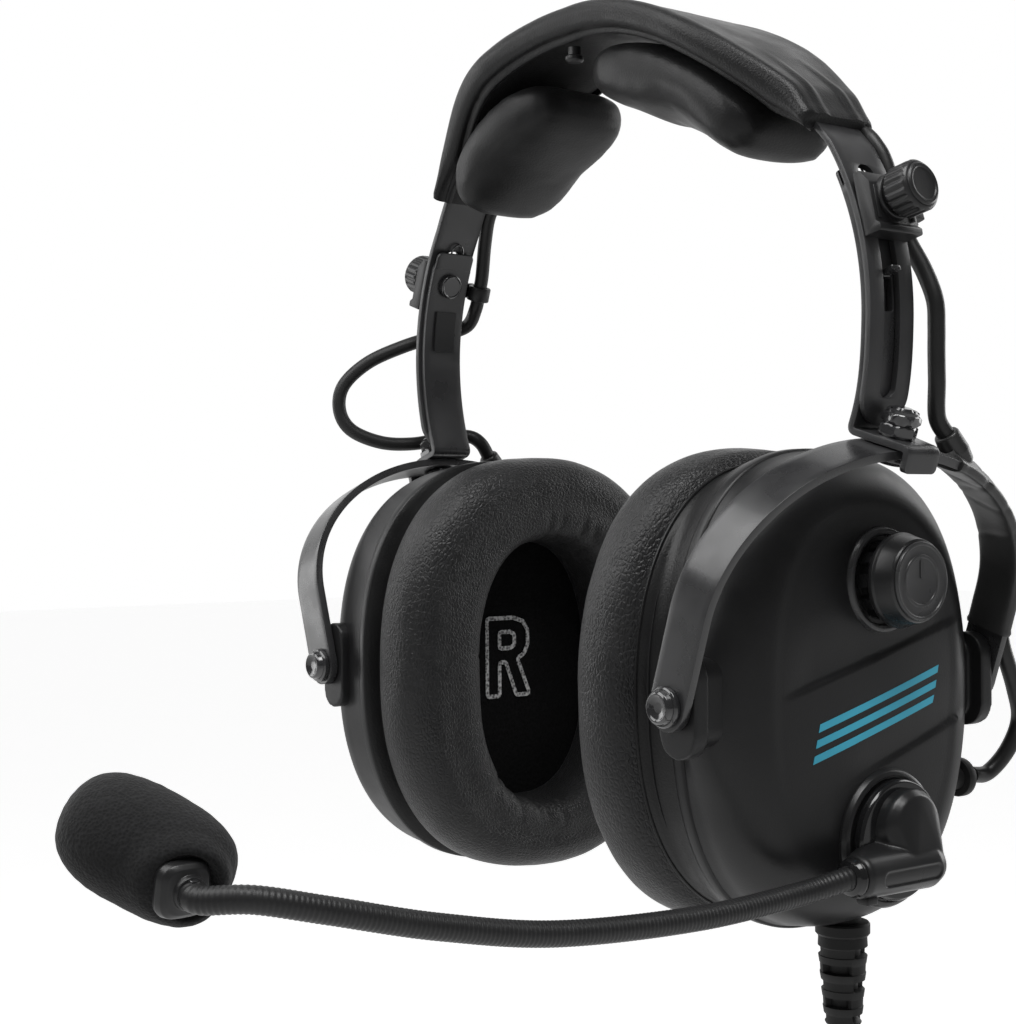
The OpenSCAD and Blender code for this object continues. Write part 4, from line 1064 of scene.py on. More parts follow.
def clamp(side, word, tilt):
    """Block, cable clip, stud and knob; tilt turns the block, the stud's shaft and the knob about the stud's foot.
    """
    t = rad(tilt)
    m = at_slot(STUD_S) @ frame4((0, 0, 0), (cos(t), 0, -sin(t)), (0, 1, 0), (sin(t), 0, cos(t)))
    low, h, t0, x0 = -8.3, 14.6, 4.0, 1.0
    side_view = fillet([(x0, low), (x0 + t0 + 1.0, low), (x0 + t0 + 1.0, low + 1.5), (x0 + t0, low + 2.4),
                        (x0 + t0, low + h - 3.2), (x0 + t0 - 2.2, low + h), (x0, low + h)],
                       [0.3, 0.6, 0.5, 0.5, 0.9, 0.8, 0.3], 3, True)
    body = put(prism(side_view, 0, 14), facing_y((0, 7, 0), -1))
    collar = put(lathe(fillet([(0.01, 0), (5.4, 0), (5.1, 1.3), (0.01, 1.3)], [0, 0, 0.4, 0]), 48),
                 facing_out((x0 + t0 - 0.2, 0, 0)))
    ridge = [block((x0 + t0 - 0.2, x0 + t0 + 0.35), (k * 5.6 - 0.5, k * 5.6 + 0.5), (low + 3.2, low + h - 4), 0.2)
             for k in (-1, 1)]
    make(f"clamp_block_{word}_body", put(join([body, collar, *ridge]), m), block_mat, f"slider_{word}", side,
         "black_plastic", f"clamp_block_{word}", lean=True, bevel=0.35)
    plain = at_slot(STUD_S)
    bar = [block((x0, x0 + 2), (5, 12.2), (-3.6, 0.6), 0.4),
           block((-2.6, x0 + 1.6), (10.4, 11.8), (-3.6, 0.6), 0.4)]
    v, f = lathe([(2.15, -3.6), (3.1, -3.6), (3.3, -3.3), (3.3, 0.3), (3.1, 0.6), (2.15, 0.6)], 40)
    # the clip's ring is open: its bore takes the place of the two caps
    f = f[:-2] + [((5 * 40) + j, (5 * 40) + (j + 1) % 40, (j + 1) % 40, j) for j in range(40)]
    clip = [*bar, put((v, f), moved((-2.4, 11.1, 0)))]
    make(f"cable_clip_{word}", put(join(clip), plain), block_mat, f"slider_{word}", side, "black_plastic",
         lean=True, bevel=0.2)
    head = fillet([(0.01, 0), (3.5, 0), (3.5, 1.2), (3.0, 1.5), (2.7, 1.25), (0.01, 1.25)],
                  [0, 0, 0.3, 0.2, 0.1, 0])
    flip = frame4((-2.7, 0, 0), (0, 0, 1), (0, 1, 0), (-1, 0, 0))
    shaft = put(disc(4, 0, 12.8), facing_out((-2.8, 0, 0)))
    make(f"clamp_stud_{word}_head", [put(put(lathe(head, 48), flip), plain), put(shaft, m)], dark_steel,
         f"slider_{word}", side, "black_steel", f"clamp_stud_{word}", lean=True)
    out = m @ facing_out((x0 + t0 + 1.2, 0, 0))
    flutes = 18

    def fluted(th, r, z):
        if r < 5.3 or not 1.3 < z < 6.4:
            return np.full(len(th), r)
        return r - 0.42 * (0.5 + 0.5 * cos(flutes * th)) ** 2

    rings = [(0.01, 0), (4.5, 0), (4.7, 0.9), (5.6, 1.2), (5.85, 1.5)]
    rings += [(5.88, z) for z in np.linspace(1.8, 6.1, 6)]
    rings += [(5.75, 6.5), (5.3, 7.0), (4.9, 7.2), (4.8, 7.2), (0.01, 7.2)]
    make(f"clamp_knob_{word}_grip", put(lathe(rings, flutes * 10, fluted), out), knob_mat, f"clamp_{word}", side,
         "knob_plastic", f"clamp_knob_{word}", lean=True, sharp=60)
    cap = [(0.01, 7.1), (4.9, 7.1), (4.8, 7.5), (4.4, 7.8), (3.9, 7.8), (3.6, 7.55), (3.3, 7.5), (0.01, 7.45)]
    make(f"clamp_knob_{word}_cap", put(lathe(fillet(cap, 0.2, 3), 64), out), knob_mat, f"clamp_{word}", side,
         "knob_plastic", lean=True, sharp=70)


# ---------------------------------------------------------------- yokes


def yokes():
    t = np.linspace(0, pi, 120)
    top = YOKE_H - YOKE_T / 2 - LEG_H
    bend = np.stack([0 * t, -YOKE_HALF * cos(t), LEG_H + top * sin(t)], 1)
    zs = np.array([-YOKE_W / 2 + q for q in (0.05, 0.2, 0.45, 0.8, 1.3, 2.0, 3.0, 4.1, 5.25)])
    leg = np.r_[zs, np.linspace(1.5, LEG_H - 1, 8)]
    front = np.stack([0 * leg, 0 * leg - YOKE_HALF, leg], 1)
    rear = front[::-1] * [1, -1, 1]
    pts = np.concatenate([front, bend, rear])
    low = np.minimum(pts[:, 2], 0)
    half = np.where(pts[:, 2] < 0, np.sqrt(np.clip((YOKE_W / 2) ** 2 - low**2, 0.2, None)), YOKE_W / 2)
    places = [AT_YOKE @ m for m in path_places(pts, (1, 0, 0))]
    both("yoke_band", ribbon(places, half), band_mat, "yoke", "yoke", "gloss_steel", thick=YOKE_T, bevel=0.4,
         segments=3)


def hexagon(apothem):
    def radius(th, r, z):
        side = apothem / cos((th + pi / 6) % (pi / 3) - pi / 6)
        return np.minimum(side, r)
    return radius


def fasteners():
    bolt_z = YOKE_H - YOKE_T - 0.4
    head = fillet([(0.01, -2.0), (2.9, -2.0), (4.1, -1.1), (4.1, 0), (0.01, 0)], [0, 0.6, 0.4, 0.2, 0])
    thread = [(2.5 - 0.22 * (i % 2), 0.2 + 0.4 * i) for i in range(26)]
    bolt = join([lathe(head, 48), lathe([(0.01, 0), *thread, (1.9, 10.7), (0.01, 10.8)], 32)])
    at = AT_YOKE @ moved((0, 0, bolt_z))
    both("yoke_bolt", put(bolt, at), dark_steel, "yoke", "yoke_bolt", "black_steel", sharp=45)
    z0 = FOOT_Z + ARM_T + 0.1
    lower = lathe([(0.01, 0), (3.8, 0), (4.25, 0.35), (4.4, 0.6), (4.4, 2.2), (4.25, 2.45), (3.7, 2.8),
                   (0.01, 2.8)], 72, hexagon(3.8))
    upper = lathe([(0.01, 0), (3.8, 0), (4.4, 0.5), (4.4, 1.7), (3.9, 2.1), (3.6, 2.3), (3.6, 2.9), (3.2, 3.15),
                   (2.75, 3.0), (2.7, 2.4), (0.01, 2.3)], 72, hexagon(3.8))
    a = AT_YOKE @ spun((0, 0, z0), 0.5)
    b = AT_YOKE @ spun((0, 0, z0 + 2.95), 0.2)
    both("yoke_nut_stack", [put(lower, a), put(upper, b)], dark_steel, "yoke", "yoke_nuts", "black_steel",
         sharp=30)
    profile = fillet([(0.01, 0), (4.4, 0), (4.4, 1.1), (3.95, 1.5), (3.75, 1.35), (3.5, 2.5), (2.9, 2.95),
                      (2.35, 2.6), (1.2, 2.25), (0.01, 2.2)], [0, 0.1, 0.3, 0.15, 0.1, 0.3, 0.3, 0.3, 0.5, 0], 3)
    pins = []
    for k in (-1, 1):
        out = facing_y((PIVOT_X, k * (YOKE_HALF + YOKE_T / 2 + 0.1), 0), k)
        pins += [put(lathe(profile, 56), out), put(disc(4, -7, 0.2), out)]
    both("pivot_pin_heads", pins, dark_steel, "yoke", "pivot_pins", "black_steel", sharp=50)


def sleeves():
    t = np.linspace(rad(110), pi, 62)
    top = YOKE_H - YOKE_T / 2 - LEG_H
    pts = np.stack([0 * t, -YOKE_HALF * cos(t), LEG_H + top * sin(t)], 1)
    low = np.linspace(LEG_H - 0.6, 12.6, 10)
    pts = np.concatenate([pts, np.stack([0 * low, 0 * low + YOKE_HALF, low], 1)])
    places = path_places(pts, (1, 0, 0))
    n = 48
    th = around(n)
    dist = run_of(pts)
    rings = []
    a, b, e = 5.95, 1.75, 2 / 3.4
    for k, m in enumerate(places):
        x = a * power(cos(th), e)
        q = b * power(sin(th), e)
        bulge = 1.9 * np.exp(-((x / 2.6) ** 2)) * ease(sin(th) * 2) * (1 - 0.4 * ease((dist[k] - 50) / 20))
        q = q + bulge
        lip = 0.22 * (bump_of(dist[k], 0.6, 0.8) + bump_of(dist[k], dist[-1] - 0.6, 0.8))
        grow = 1 + lip / 4
        rings.append(m[:3, 3] + np.outer(q * grow, m[:3, 0]) + np.outer(x * grow, m[:3, 1]))
    p = np.array(rings)
    v = p.reshape(-1, 3)
    wave = rough(v, 9, 2) * 0.16
    # creases across the sleeve where it bends
    along_it = np.repeat(dist, n)
    for place, deep, tilt in ((9, 0.35, 0.5), (14, 0.28, -0.4), (21, 0.22, 0.3), (33, 0.2, -0.3)):
        wave -= deep * np.exp(-(((along_it - place - tilt * v[:, 0]) / 0.9) ** 2))
    v = v + units(v - np.repeat(pts, n, 0)) * wave[:, None]
    body = put(grid(v.reshape(p.shape), wrap_v=True, caps=True), AT_YOKE)
    boot = put(lathe(fillet([(0.01, 0), (2.6, 0), (2.9, 0.5), (3.3, 5), (3.0, 8), (1.5, 10.6), (0.01, 10.8)],
                            [0, 0.4, 0.4, 1.5, 1, 0.5, 0]), 32), along(BOOT_AT, BOOT_V))
    both("yoke_sleeve", [body, boot], sleeve_mat, "yoke", "sleeve", "rubber", sharp=60)


# ---------------------------------------------------------------- leads between the cups


def leads():
    clip_x, clip_y, lead_y = -2.4, 11.1, 9.5
    v = np.array([cos(rad(COVER_END)), 0, -sin(rad(COVER_END))])
    top = C0 + CROWN_R * np.array([sin(rad(COVER_END)), 0, cos(rad(COVER_END))]) + [0, lead_y, 0]

    def beside(z):
        return (at_slot(STUD_S) @ np.array([clip_x, clip_y, z, 1.0]))[:3]

    upper = spline([top - 9 * v, top - 3 * v, top + 0.4 * v, top + 4.4 * v,
                    (top + 4.4 * v + beside(6)) / 2 + [0.5, 0, 0.4], beside(3.6), beside(-1.2)], 0.8)
    boot_v = unit(BOOT_V)
    near = [(85, 12.2, 94), (87.5, 12.8, 87.3), (87.6, 13.2, 81.4), (87.2, 13.4, 75.7), (86.6, 13.8, 69.5)]
    far = [(-85.8, 11, 96.4), (-90, 4.6, 93.8), (-95.2, -5, 90.4), (-100.4, -14.6, 85.4), (-104.2, -20.8, 78.6),
           (-105, -21.8, 71.4), (-103, -19, 65.4), (-99.4, -11, 61.8), (-96, -2, 61.4), (-91.6, 6.6, 63),
           (-87.4, 12.4, 63.6)]
    cup = spline([(72.6, 53.4, 14.5), (72.4, 54.6, 11.2), (72.6, 55.4, 7), (72.2, 60.4, -3), (70, 65.2, -11.3),
                  (67.8, 63.4, -19), (65.4, 58.8, -24.4), (65.4, 52.5, -24.4)], 0.8)
    for side, word, loop in ((1, "left", near), (-1, "right", far)):
        flip = np.array([side, 1, 1])
        lower = spline([beside(-1.2) * flip, beside(-6) * flip, *loop, (BOOT_AT - 4.6 * boot_v) * flip,
                        (BOOT_AT + 1.0 * boot_v) * flip], 0.8)
        first = upper * flip
        cord(f"lead_{word}_upper", first, LEAD_D, None, jacket_mat, "lead_jacket",
             f"lead_upper_{word}", (0, 1, 0), lean=True, blend=("headband", f"slider_{word}", first[10],
                                                                first[-4]))
        cord(f"lead_{word}_lower", lower, LEAD_D, None, jacket_mat, "lead_jacket",
             f"lead_lower_{word}", (0.5, 0.2, -0.1), lean=True,
             blend=(f"slider_{word}", f"yoke_{word}", lower[5], lower[-5]))
        last = cup * flip
        cord(f"lead_{word}_cup", last, LEAD_D, None, jacket_mat, "lead_jacket",
             f"lead_cup_{word}", (1, 0, 0), blend=(f"yoke_{word}", f"cup_{word}", last[4], last[-5]))


# ---------------------------------------------------------------- ear cups


def oval(th, a, b, n):
    r = 1 / ((np.abs(cos(th)) / a) ** n + (np.abs(sin(th)) / b) ** n) ** (1 / n)
    return r * cos(th), r * sin(th)


# the shells' corner exponent and the face's insets, then half width, half height, rearward shift and front edge
SHELL_EXP, FACE_IN_Y, FACE_IN_Z = 2.4, 14.6, 15.2
SHELLS = {"left": (43.2, 55.0, 3.3, 5.2), "right": (46.2, 55.0, -2.0, 0.6)}
LEFT_A, SHELL_B, LEFT_Y = SHELLS["left"][:3]


def face_steps(y, z):
    """Two soft steps that slope across the face, each fading towards the front edge."""
    y, z = np.asarray(y, float), np.asarray(z, float)
    d1 = z - 6.4 - 0.253 * y
    d2 = z + 18.3 - 0.30 * y
    hollow1 = ease((d1 + 0.5) / 1.0) * (1 - ease(d1 / 16)) * ease((y + 26) / 12) * (1 - ease((y - 26) / 12))
    hollow2 = ease((d2 + 0.5) / 1.0) * (1 - ease(d2 / 11)) * ease((y + 8) / 14) * (1 - ease((y - 34) / 6))
    return -0.85 * hollow1 - 0.6 * hollow2


def face_x(y, z):
    across, up = np.abs(y - LEFT_Y) / (LEFT_A - FACE_IN_Y), np.abs(z) / (SHELL_B - FACE_IN_Z)
    rho = (across**SHELL_EXP + up**SHELL_EXP) ** (1 / SHELL_EXP)
    return FACE_X - 0.1 + 1.0 * (1 - np.clip(rho, 0, 1) ** 2) + face_steps(y, z)


def cup_shell(word):
    n = 240
    half, high, shift, front = SHELLS[word]
    th = (np.arange(n) + 0.5) * 2 * pi / n
    rim = [(3.4, front - 0.4), (0.5, front), (0.1, front + 0.2), (0.0, front + 0.6), (0.0, front + 2.5),
           (0.2, front + 2.9), (0.6, front + 3.1), (0.65, front + 3.5), (1.0, 9.8)]
    curve = [(1.2 + FILLET * (1 - cos(a)), 11.2 + FILLET * sin(a)) for a in rad(np.linspace(0, 90, 22))]
    rings = []
    for inset, x in rim + curve:
        y, z = oval(th, half - inset, high - inset, SHELL_EXP)
        rings.append(ring_at(RIM_X + x, y + shift, z))
    for k in np.linspace(0.985, 0.0, 66)[:-1]:
        y, z = oval(th, (half - FACE_IN_Y) * k + 0.02, (high - FACE_IN_Z) * k + 0.02, SHELL_EXP - 0.3 * (1 - k))
        rings.append(ring_at(FACE_X - 0.1, y + shift, z))
    p = np.array(rings)
    y, z, x = p[..., 1] - shift + LEFT_Y, p[..., 2], p[..., 0]
    # the left wall swells out towards each pivot boss
    side = p[..., 1] - shift
    swollen = bump_of(z, 0, 26) * ease((np.abs(side) / half - 0.6) / 0.35)
    swollen = swollen * (1 - ease((x - RIM_X - 14) / 10)) * ease((x - RIM_X - front - 2.9) / 3)
    p[..., 1] += (3.0 if word == "left" else 0) * np.sign(side) * swollen
    flat = ease((x - (FACE_X - 5)) / 4)
    p[..., 0] = np.where(x > FACE_X - 0.11, face_x(y, z), x + flat * face_steps(y, z))
    return grid(p, wrap_v=True, caps=True)


# each boss's base and plate: half length, radius, offset from the pivot, and from and to along Y
BOSSES = {"left": ((5.6, 4.4, -2.2, 22, 46), (5.8, 5.5, 0.6, 45.2, 49.2)),
          "right": ((6.6, 4.6, -1.0, 22, 44), (6.8, 4.5, -2.4, 36, 49.3))}


def bosses(word):
    solids = []
    for k in (-1, 1):
        m = facing_y((0, 0, 0), k)
        solids += [put(prism(stadium(h, r) + [PIVOT_X + x, 0], y0, y1), m) for h, r, x, y0, y1 in BOSSES[word]]
        solids.append(put(put(disc(9.0, 48, 49.4, 0.2, 48), moved((PIVOT_X, 0, 0))), m))
    return solids


def on_face(at, x0=0.0):
    """Place on the left cup's face, z outward."""
    return facing_out((FACE_X + x0, at[0], at[1]))


def cups():
    for side, word in ((1, "left"), (-1, "right")):
        make(f"cup_{word}_shell", cup_shell(word), cup_mat, f"cup_{word}", side, "cup_plastic", f"cup_{word}",
             sharp=50)
        make(f"cup_{word}_pivot_bosses", bosses(word), cup_mat, f"cup_{word}", side, "cup_plastic", fuse=(0.4, 5))
    bezel = fillet([(0.01, -3), (12.1, -3), (12.0, 0.7), (11.6, 1.5), (10.9, 1.75), (10.3, 1.4), (9.9, 0.6),
                    (9.8, -2.6), (0.01, -2.6)], 0.35, 3)
    # the bezel is in the lighter knob-face plastic, whose colour is painted light
    make("volume_bezel", put(lathe(bezel, 96), on_face(VOL)), painted_light_face_mat, "cup_left", slot="cup_plastic", sharp=60)
    seat = fillet([(0.01, -3), (15.7, -3), (15.7, 0.9), (15.1, 1.9), (14.2, 2.3), (13.7, 1.9), (13.6, 1.5),
                   (0.01, 1.5)], 0.45, 3)
    make("boom_pivot_seat", put(lathe(seat, 96), on_face(BOOM)), knob_mat, "cup_left", slot="cup_plastic",
         sharp=60)


def accent_stripes():
    """Plain parallel stripes along the band across the left cup's face."""
    slope = math.atan(0.262)
    along_y, across_z = np.array([cos(slope), sin(slope)]), np.array([-sin(slope), cos(slope)])
    solids = []
    start, stop, w = -15, 27, 1.6
    for off in (2.4, -0.7, -3.8):
        rows = []
        for s in np.linspace(0, 1, 60):
            row = []
            for q in (-w / 2, -w / 6, w / 6, w / 2):
                shear = 0.55 * (q + off)
                c = np.array([0.0, -5.6]) + along_y * (start + (stop - start) * s + shear) + across_z * (off + q)
                row.append((float(face_x(c[0], c[1])) + 0.05, c[0], c[1]))
            rows.append(row)
        solids.append(grid(np.array(rows)))
    make("accent_stripes", solids, accent_mat, "cup_left", slot="cup_plastic", thick=0.08)


# ---------------------------------------------------------------- ear seals and liners

# half width, half height and corner exponent of the seal's outline and opening, and the opening's drop
SEAL_A, SEAL_B, SEAL_EXP = 48.5, 55.6, 2.35
HOLE_A, HOLE_B, HOLE_EXP, HOLE_Z = 23.0, 34.8, 2.4, -2.2
SEAM_X, SEAM_AT = 49.1, 0.79
LETTER_Y, LETTER_Z = -2.0, 0.5


def ear_seal(side, word, seed):
    """A leatherette ring stuffed with foam: rolled front, seam round the outside and a smooth skirt behind it."""
    n, m = 300, 84
    section = [(0.045, 48.4), (0.012, 44), (0.004, 39.5), (0.03, 35), (0.10, 31.7), (0.22, 30.3), (0.38, 29.9),
               (0.56, 29.9), (0.73, 30.5), (0.88, 32.4), (0.97, 35.6), (1.0, 39.2), (0.995, 42.8), (0.955, 45.8),
               (0.875, 47.8), (0.80, 48.8), (0.765, 49.4), (0.70, 49.3), (0.5, 48.8)]
    sec = closed_curve([(r * 40, x) for r, x in section], m) / [40, 1]
    th = around(n)
    ay, az = oval(th, SEAL_A, SEAL_B, SEAL_EXP)
    hy, hz = oval(th, HOLE_A, HOLE_B, HOLE_EXP)
    hz = hz + HOLE_Z
    rings = []
    for r, x in sec:
        # the back curls in less over the top and bottom than at the front and rear
        r = r + 0.05 * ease((x - 44) / 4) * ease((r - 0.7) / 0.1) * sin(th) ** 6
        rings.append(ring_at(x, hy + (ay - hy) * r, hz + (az - hz) * r))
    p = np.swapaxes(np.array(rings), 0, 1)
    v = p.reshape(-1, 3)
    rr = np.tile(sec[:, 0], n)
    xx = np.tile(sec[:, 1], n)
    tt = np.repeat(th, m)
    out = np.stack([np.where(xx < 36, -1.0, -0.1) * ease((46 - xx) / 6), cos(tt) * (rr - 0.5) * 1.4,
                    sin(tt) * (rr - 0.5) * 1.4], 1)
    out /= np.linalg.norm(out, axis=1)[:, None] + 1e-6
    soft = ease((47 - xx) / 3)
    lump = 0.35 * rough(v, 19, seed) + 0.10 * rough(v, 6, seed + 5)
    # gathers round the opening, where the cover is turned in
    gather = np.zeros(len(v))
    state = np.random.default_rng(seed)
    # most of them are at the bottom and the upper rear, the rest anywhere
    centres = [*state.normal(rad(252), 0.22, 9), *state.normal(rad(62), 0.25, 7), *state.uniform(0, 2 * pi, 10)]
    for centre in centres:
        wide, reach, deep = state.uniform(0.018, 0.035), state.uniform(0.22, 0.5), state.uniform(0.35, 0.8)
        turn = (tt - centre - 0.10 * (rr - 0.1) * state.uniform(-1, 1) + pi) % (2 * pi) - pi
        gather -= deep * np.exp(-((turn / wide) ** 2)) * bump_of(rr, 0.06, reach) * ease((41 - xx) / 4) * 0.75
    hollow = -0.5 * bump_of(rr, 0.50, 0.2) * ease((33 - xx) / 2) * (0.6 + 0.4 * sin(2 * tt + seed))
    v = v + out * ((lump + gather + hollow) * soft)[:, None]
    arc = run_of(np.stack([ay, az], 1))
    depth = np.r_[0, np.cumsum(np.hypot(np.diff(sec[:, 0]) * 25, np.diff(sec[:, 1])))]
    uv = np.stack([np.repeat(arc, m), np.tile(depth, n)], 1) / 1000
    ob = make(f"ear_seal_{word}_cushion", grid(v.reshape(p.shape), True, True), seal_mat, f"cup_{word}", side,
              "leatherette", f"ear_seal_{word}", sharp=80, uv=uv)
    # seam thread where the cushion meets the skirt, in the skirt's darker leatherette, whose darker colour is
    # painted shade
    r = SEAM_AT + 0.05 * sin(th) ** 6
    ring = closed_curve(np.stack([hy + (ay - hy) * r, hz + (az - hz) * r], 1)[::4], 260)
    loop = np.c_[np.full(len(ring), SEAM_X), ring]
    a = around(8)[None, :, None]
    outward = units(loop * [0, 1, 1])[:, None]
    cordlet = loop[:, None] + 0.36 * (cos(a) * outward + sin(a) * np.array([1.0, 0, 0]))
    make(f"ear_seal_{word}_piping", grid(cordlet, True, True), skirt_painted_shade_mat, f"cup_{word}", side, "leatherette")
    # the skirt runs from the seam back over the plate to the cup's rim; its leatherette is darker than the
    # cushion's, as painted shade of the recess
    half, high, shift, front = SHELLS[word]
    ry, rz = oval(th, half - 0.5, high - 0.5, SHELL_EXP)
    sy, sz = hy + (ay - hy) * (r - 0.02), hz + (az - hz) * (r - 0.02)
    skirt = []
    for k, x in ((-0.15, 48.9), (0.0, 49.2), (0.12, 49.6), (0.3, 50.4), (0.5, 51.2), (0.75, 51.2 + 0.5 * front),
                 (1.0, 51.5 + front), (0.9, 52.5 + front)):
        sink = 0.7 * bump_of(k, 0.5, 0.5)
        y = sy + (ry + shift - sy) * ease(k) + 0.12 * min(k, 0) * sy
        z = sz + (rz - sz) * ease(k) + 0.12 * min(k, 0) * sz
        skirt.append(ring_at(x, y - sink * cos(th), z - sink * sin(th)))
    make(f"ear_seal_{word}_skirt", grid(np.array(skirt), wrap_v=True), skirt_painted_shade_mat, f"cup_{word}", side,
         "leatherette", sharp=60, thick=0.5)
    corners = ((0.3, 51.2), (0.3, 49.3), (0.72, 49.3), (0.72, 51.2))
    plate = [ring_at(x, hy + (ay - hy) * k, hz + (az - hz) * k) for k, x in corners]
    make(f"seal_plate_{word}_ring", grid(np.array(plate), True, True), block_mat, f"cup_{word}", side,
         "black_plastic", f"seal_plate_{word}")


LETTERS = {"R": [[(0, 0), (0, 20), (8.4, 20), (11.6, 19), (13.2, 16.6), (13.2, 13), (12, 10.6), (9.8, 9.4),
                  (13.8, 0), (9.4, 0), (6.0, 8.6), (4.0, 8.6), (4.0, 0)],
                 [(4, 12.2), (4, 16.4), (7.4, 16.4), (8.8, 15.7), (8.8, 12.9), (7.4, 12.2)]],
           "L": [[(0, 0), (0, 20), (4.0, 20), (4.0, 3.8), (11.6, 3.8), (11.6, 0)]], }


def liner(side, word, letter):
    n, rings = 128, []
    th = around(n)
    base = RIM_X - 0.3
    for k, x in ((1.0, 4.6), (1.0, 0.6), (0.97, 0.15), (0.9, 0.0)):
        y, z = oval(th, (HOLE_A + 8.6) * k, (HOLE_B + 7.6) * k, 2.2)
        rings.append(ring_at(base + x, y, z))
    for k in np.linspace(0.8, 0, 18)[:-1]:
        y, z = oval(th, (HOLE_A + 8.6) * k + 0.01, (HOLE_B + 7.6) * k + 0.01, 2.2)
        rings.append(ring_at(base, y, z))
    p = np.array(rings)
    v = p.reshape(-1, 3)
    v[:, 0] += 0.25 * rough(v, 9, 4) * (v[:, 0] < base + 0.1)
    make(f"ear_liner_{word}_cloth", grid(v.reshape(p.shape), wrap_v=True, caps=True), cloth_mat, f"cup_{word}",
         side, "liner_cloth", f"ear_liner_{word}")
    strokes = []
    for outline in LETTERS[letter]:
        o = fillet(outline, 0.7, 2, True) * 1.08
        k = len(o)
        edges = []
        for i in range(k):
            t = unit(unit(o[(i + 1) % k] - o[i]) + unit(o[i] - o[i - 1]) + 1e-9)
            nrm = np.array([-t[1], t[0]])
            edges.append([o[i] + nrm * q for q in (-0.58, 0.58)])
        e = np.array(edges)
        # read from inside the headset, the letter runs towards the front on the left and the rear on the right
        x = np.full(e.shape[:2], base - 0.32)
        strokes.append(grid(np.stack([x, (e[..., 0] - 6.6) * (1 if side < 0 else -1) + LETTER_Y,
                                      e[..., 1] - 10.8 + LETTER_Z], 2), wrap_u=True))
    make(f"side_letter_{word}", strokes, ink_mat, f"cup_{word}", side, "liner_cloth", thick=0.12)


def grommets():
    profile = [(2.0, -8), (2.9, -8), (2.9, -3.4), (4.5, -3.3), (4.7, -2.9), (4.7, -1.2), (4.4, -0.8), (3.2, -0.6),
               (3.0, 1.2), (2.1, 1.4)]
    both("cable_grommet", put(lathe(profile, 48), facing_y((65.4, 49.4, -24.4), 1)), rubber_mat, "cup", "grommet",
         "rubber", sharp=45)


# ---------------------------------------------------------------- volume knob and boom


def volume_knob():
    at = on_face(VOL, 1.7)
    slots = 10

    def notched(th, r, z):
        if not -1.2 < z < 3.0 or r < 7.5:
            return np.full(len(th), r)
        return r - 1.3 * ease((cos(slots * th) - 0.15) / 0.25)

    rows = [(0.01, -4), (8.9, -4), (9.1, -3.4), *[(9.1, z) for z in (-1.25, -1.1, 0, 1.2, 2.6, 2.95, 3.1)],
            (0.01, 3.1)]
    make("volume_knob_base", put(lathe(rows, 240, notched), at), gloss_mat, "volume_knob", slot="knob_plastic",
         stands_for="volume_knob", sharp=30)
    flare = fillet([(0.01, 2.9), (9.3, 2.9), (10.4, 3.3), (10.7, 3.9), (10.7, 4.6), (10.4, 5.2), (9.3, 9.0),
                    (8.95, 9.4), (8.3, 9.5), (0.01, 9.4)], [0, 0, 0.3, 0.4, 0.4, 0.6, 0.5, 0.3, 0.2, 0], 3)
    make("volume_knob_bell", put(lathe(flare, 96), at), knob_mat, "volume_knob", slot="knob_plastic", sharp=60)
    face = fillet([(0.01, 9.3), (8.6, 9.3), (8.75, 9.7), (8.5, 10.15), (8.0, 10.15), (7.8, 9.85), (5.9, 9.8),
                   (5.75, 10.0), (5.2, 10.0), (5.05, 9.8), (0.01, 9.8)],
                  [0, 0, 0.2, 0.15, 0.15, 0.1, 0.06, 0.06, 0.06, 0.06, 0], 2)
    pointer = put(prism(stadium(1.5, 0.55), 9.7, 10.02), frame4((0, 0, 0), (0, 1, 0), (-1, 0, 0), (0, 0, 1)))
    pointer = put(pointer, moved((-2.6, 0, 0)))
    # the knob's face is in the lighter knob-face plastic, whose colour is painted light
    make("volume_knob_face", put(join([lathe(face, 96), pointer]), at), painted_light_face_mat, "volume_knob",
         slot="knob_plastic", sharp=50)


BARREL_X, BARREL_Z = 5.4, -5.2


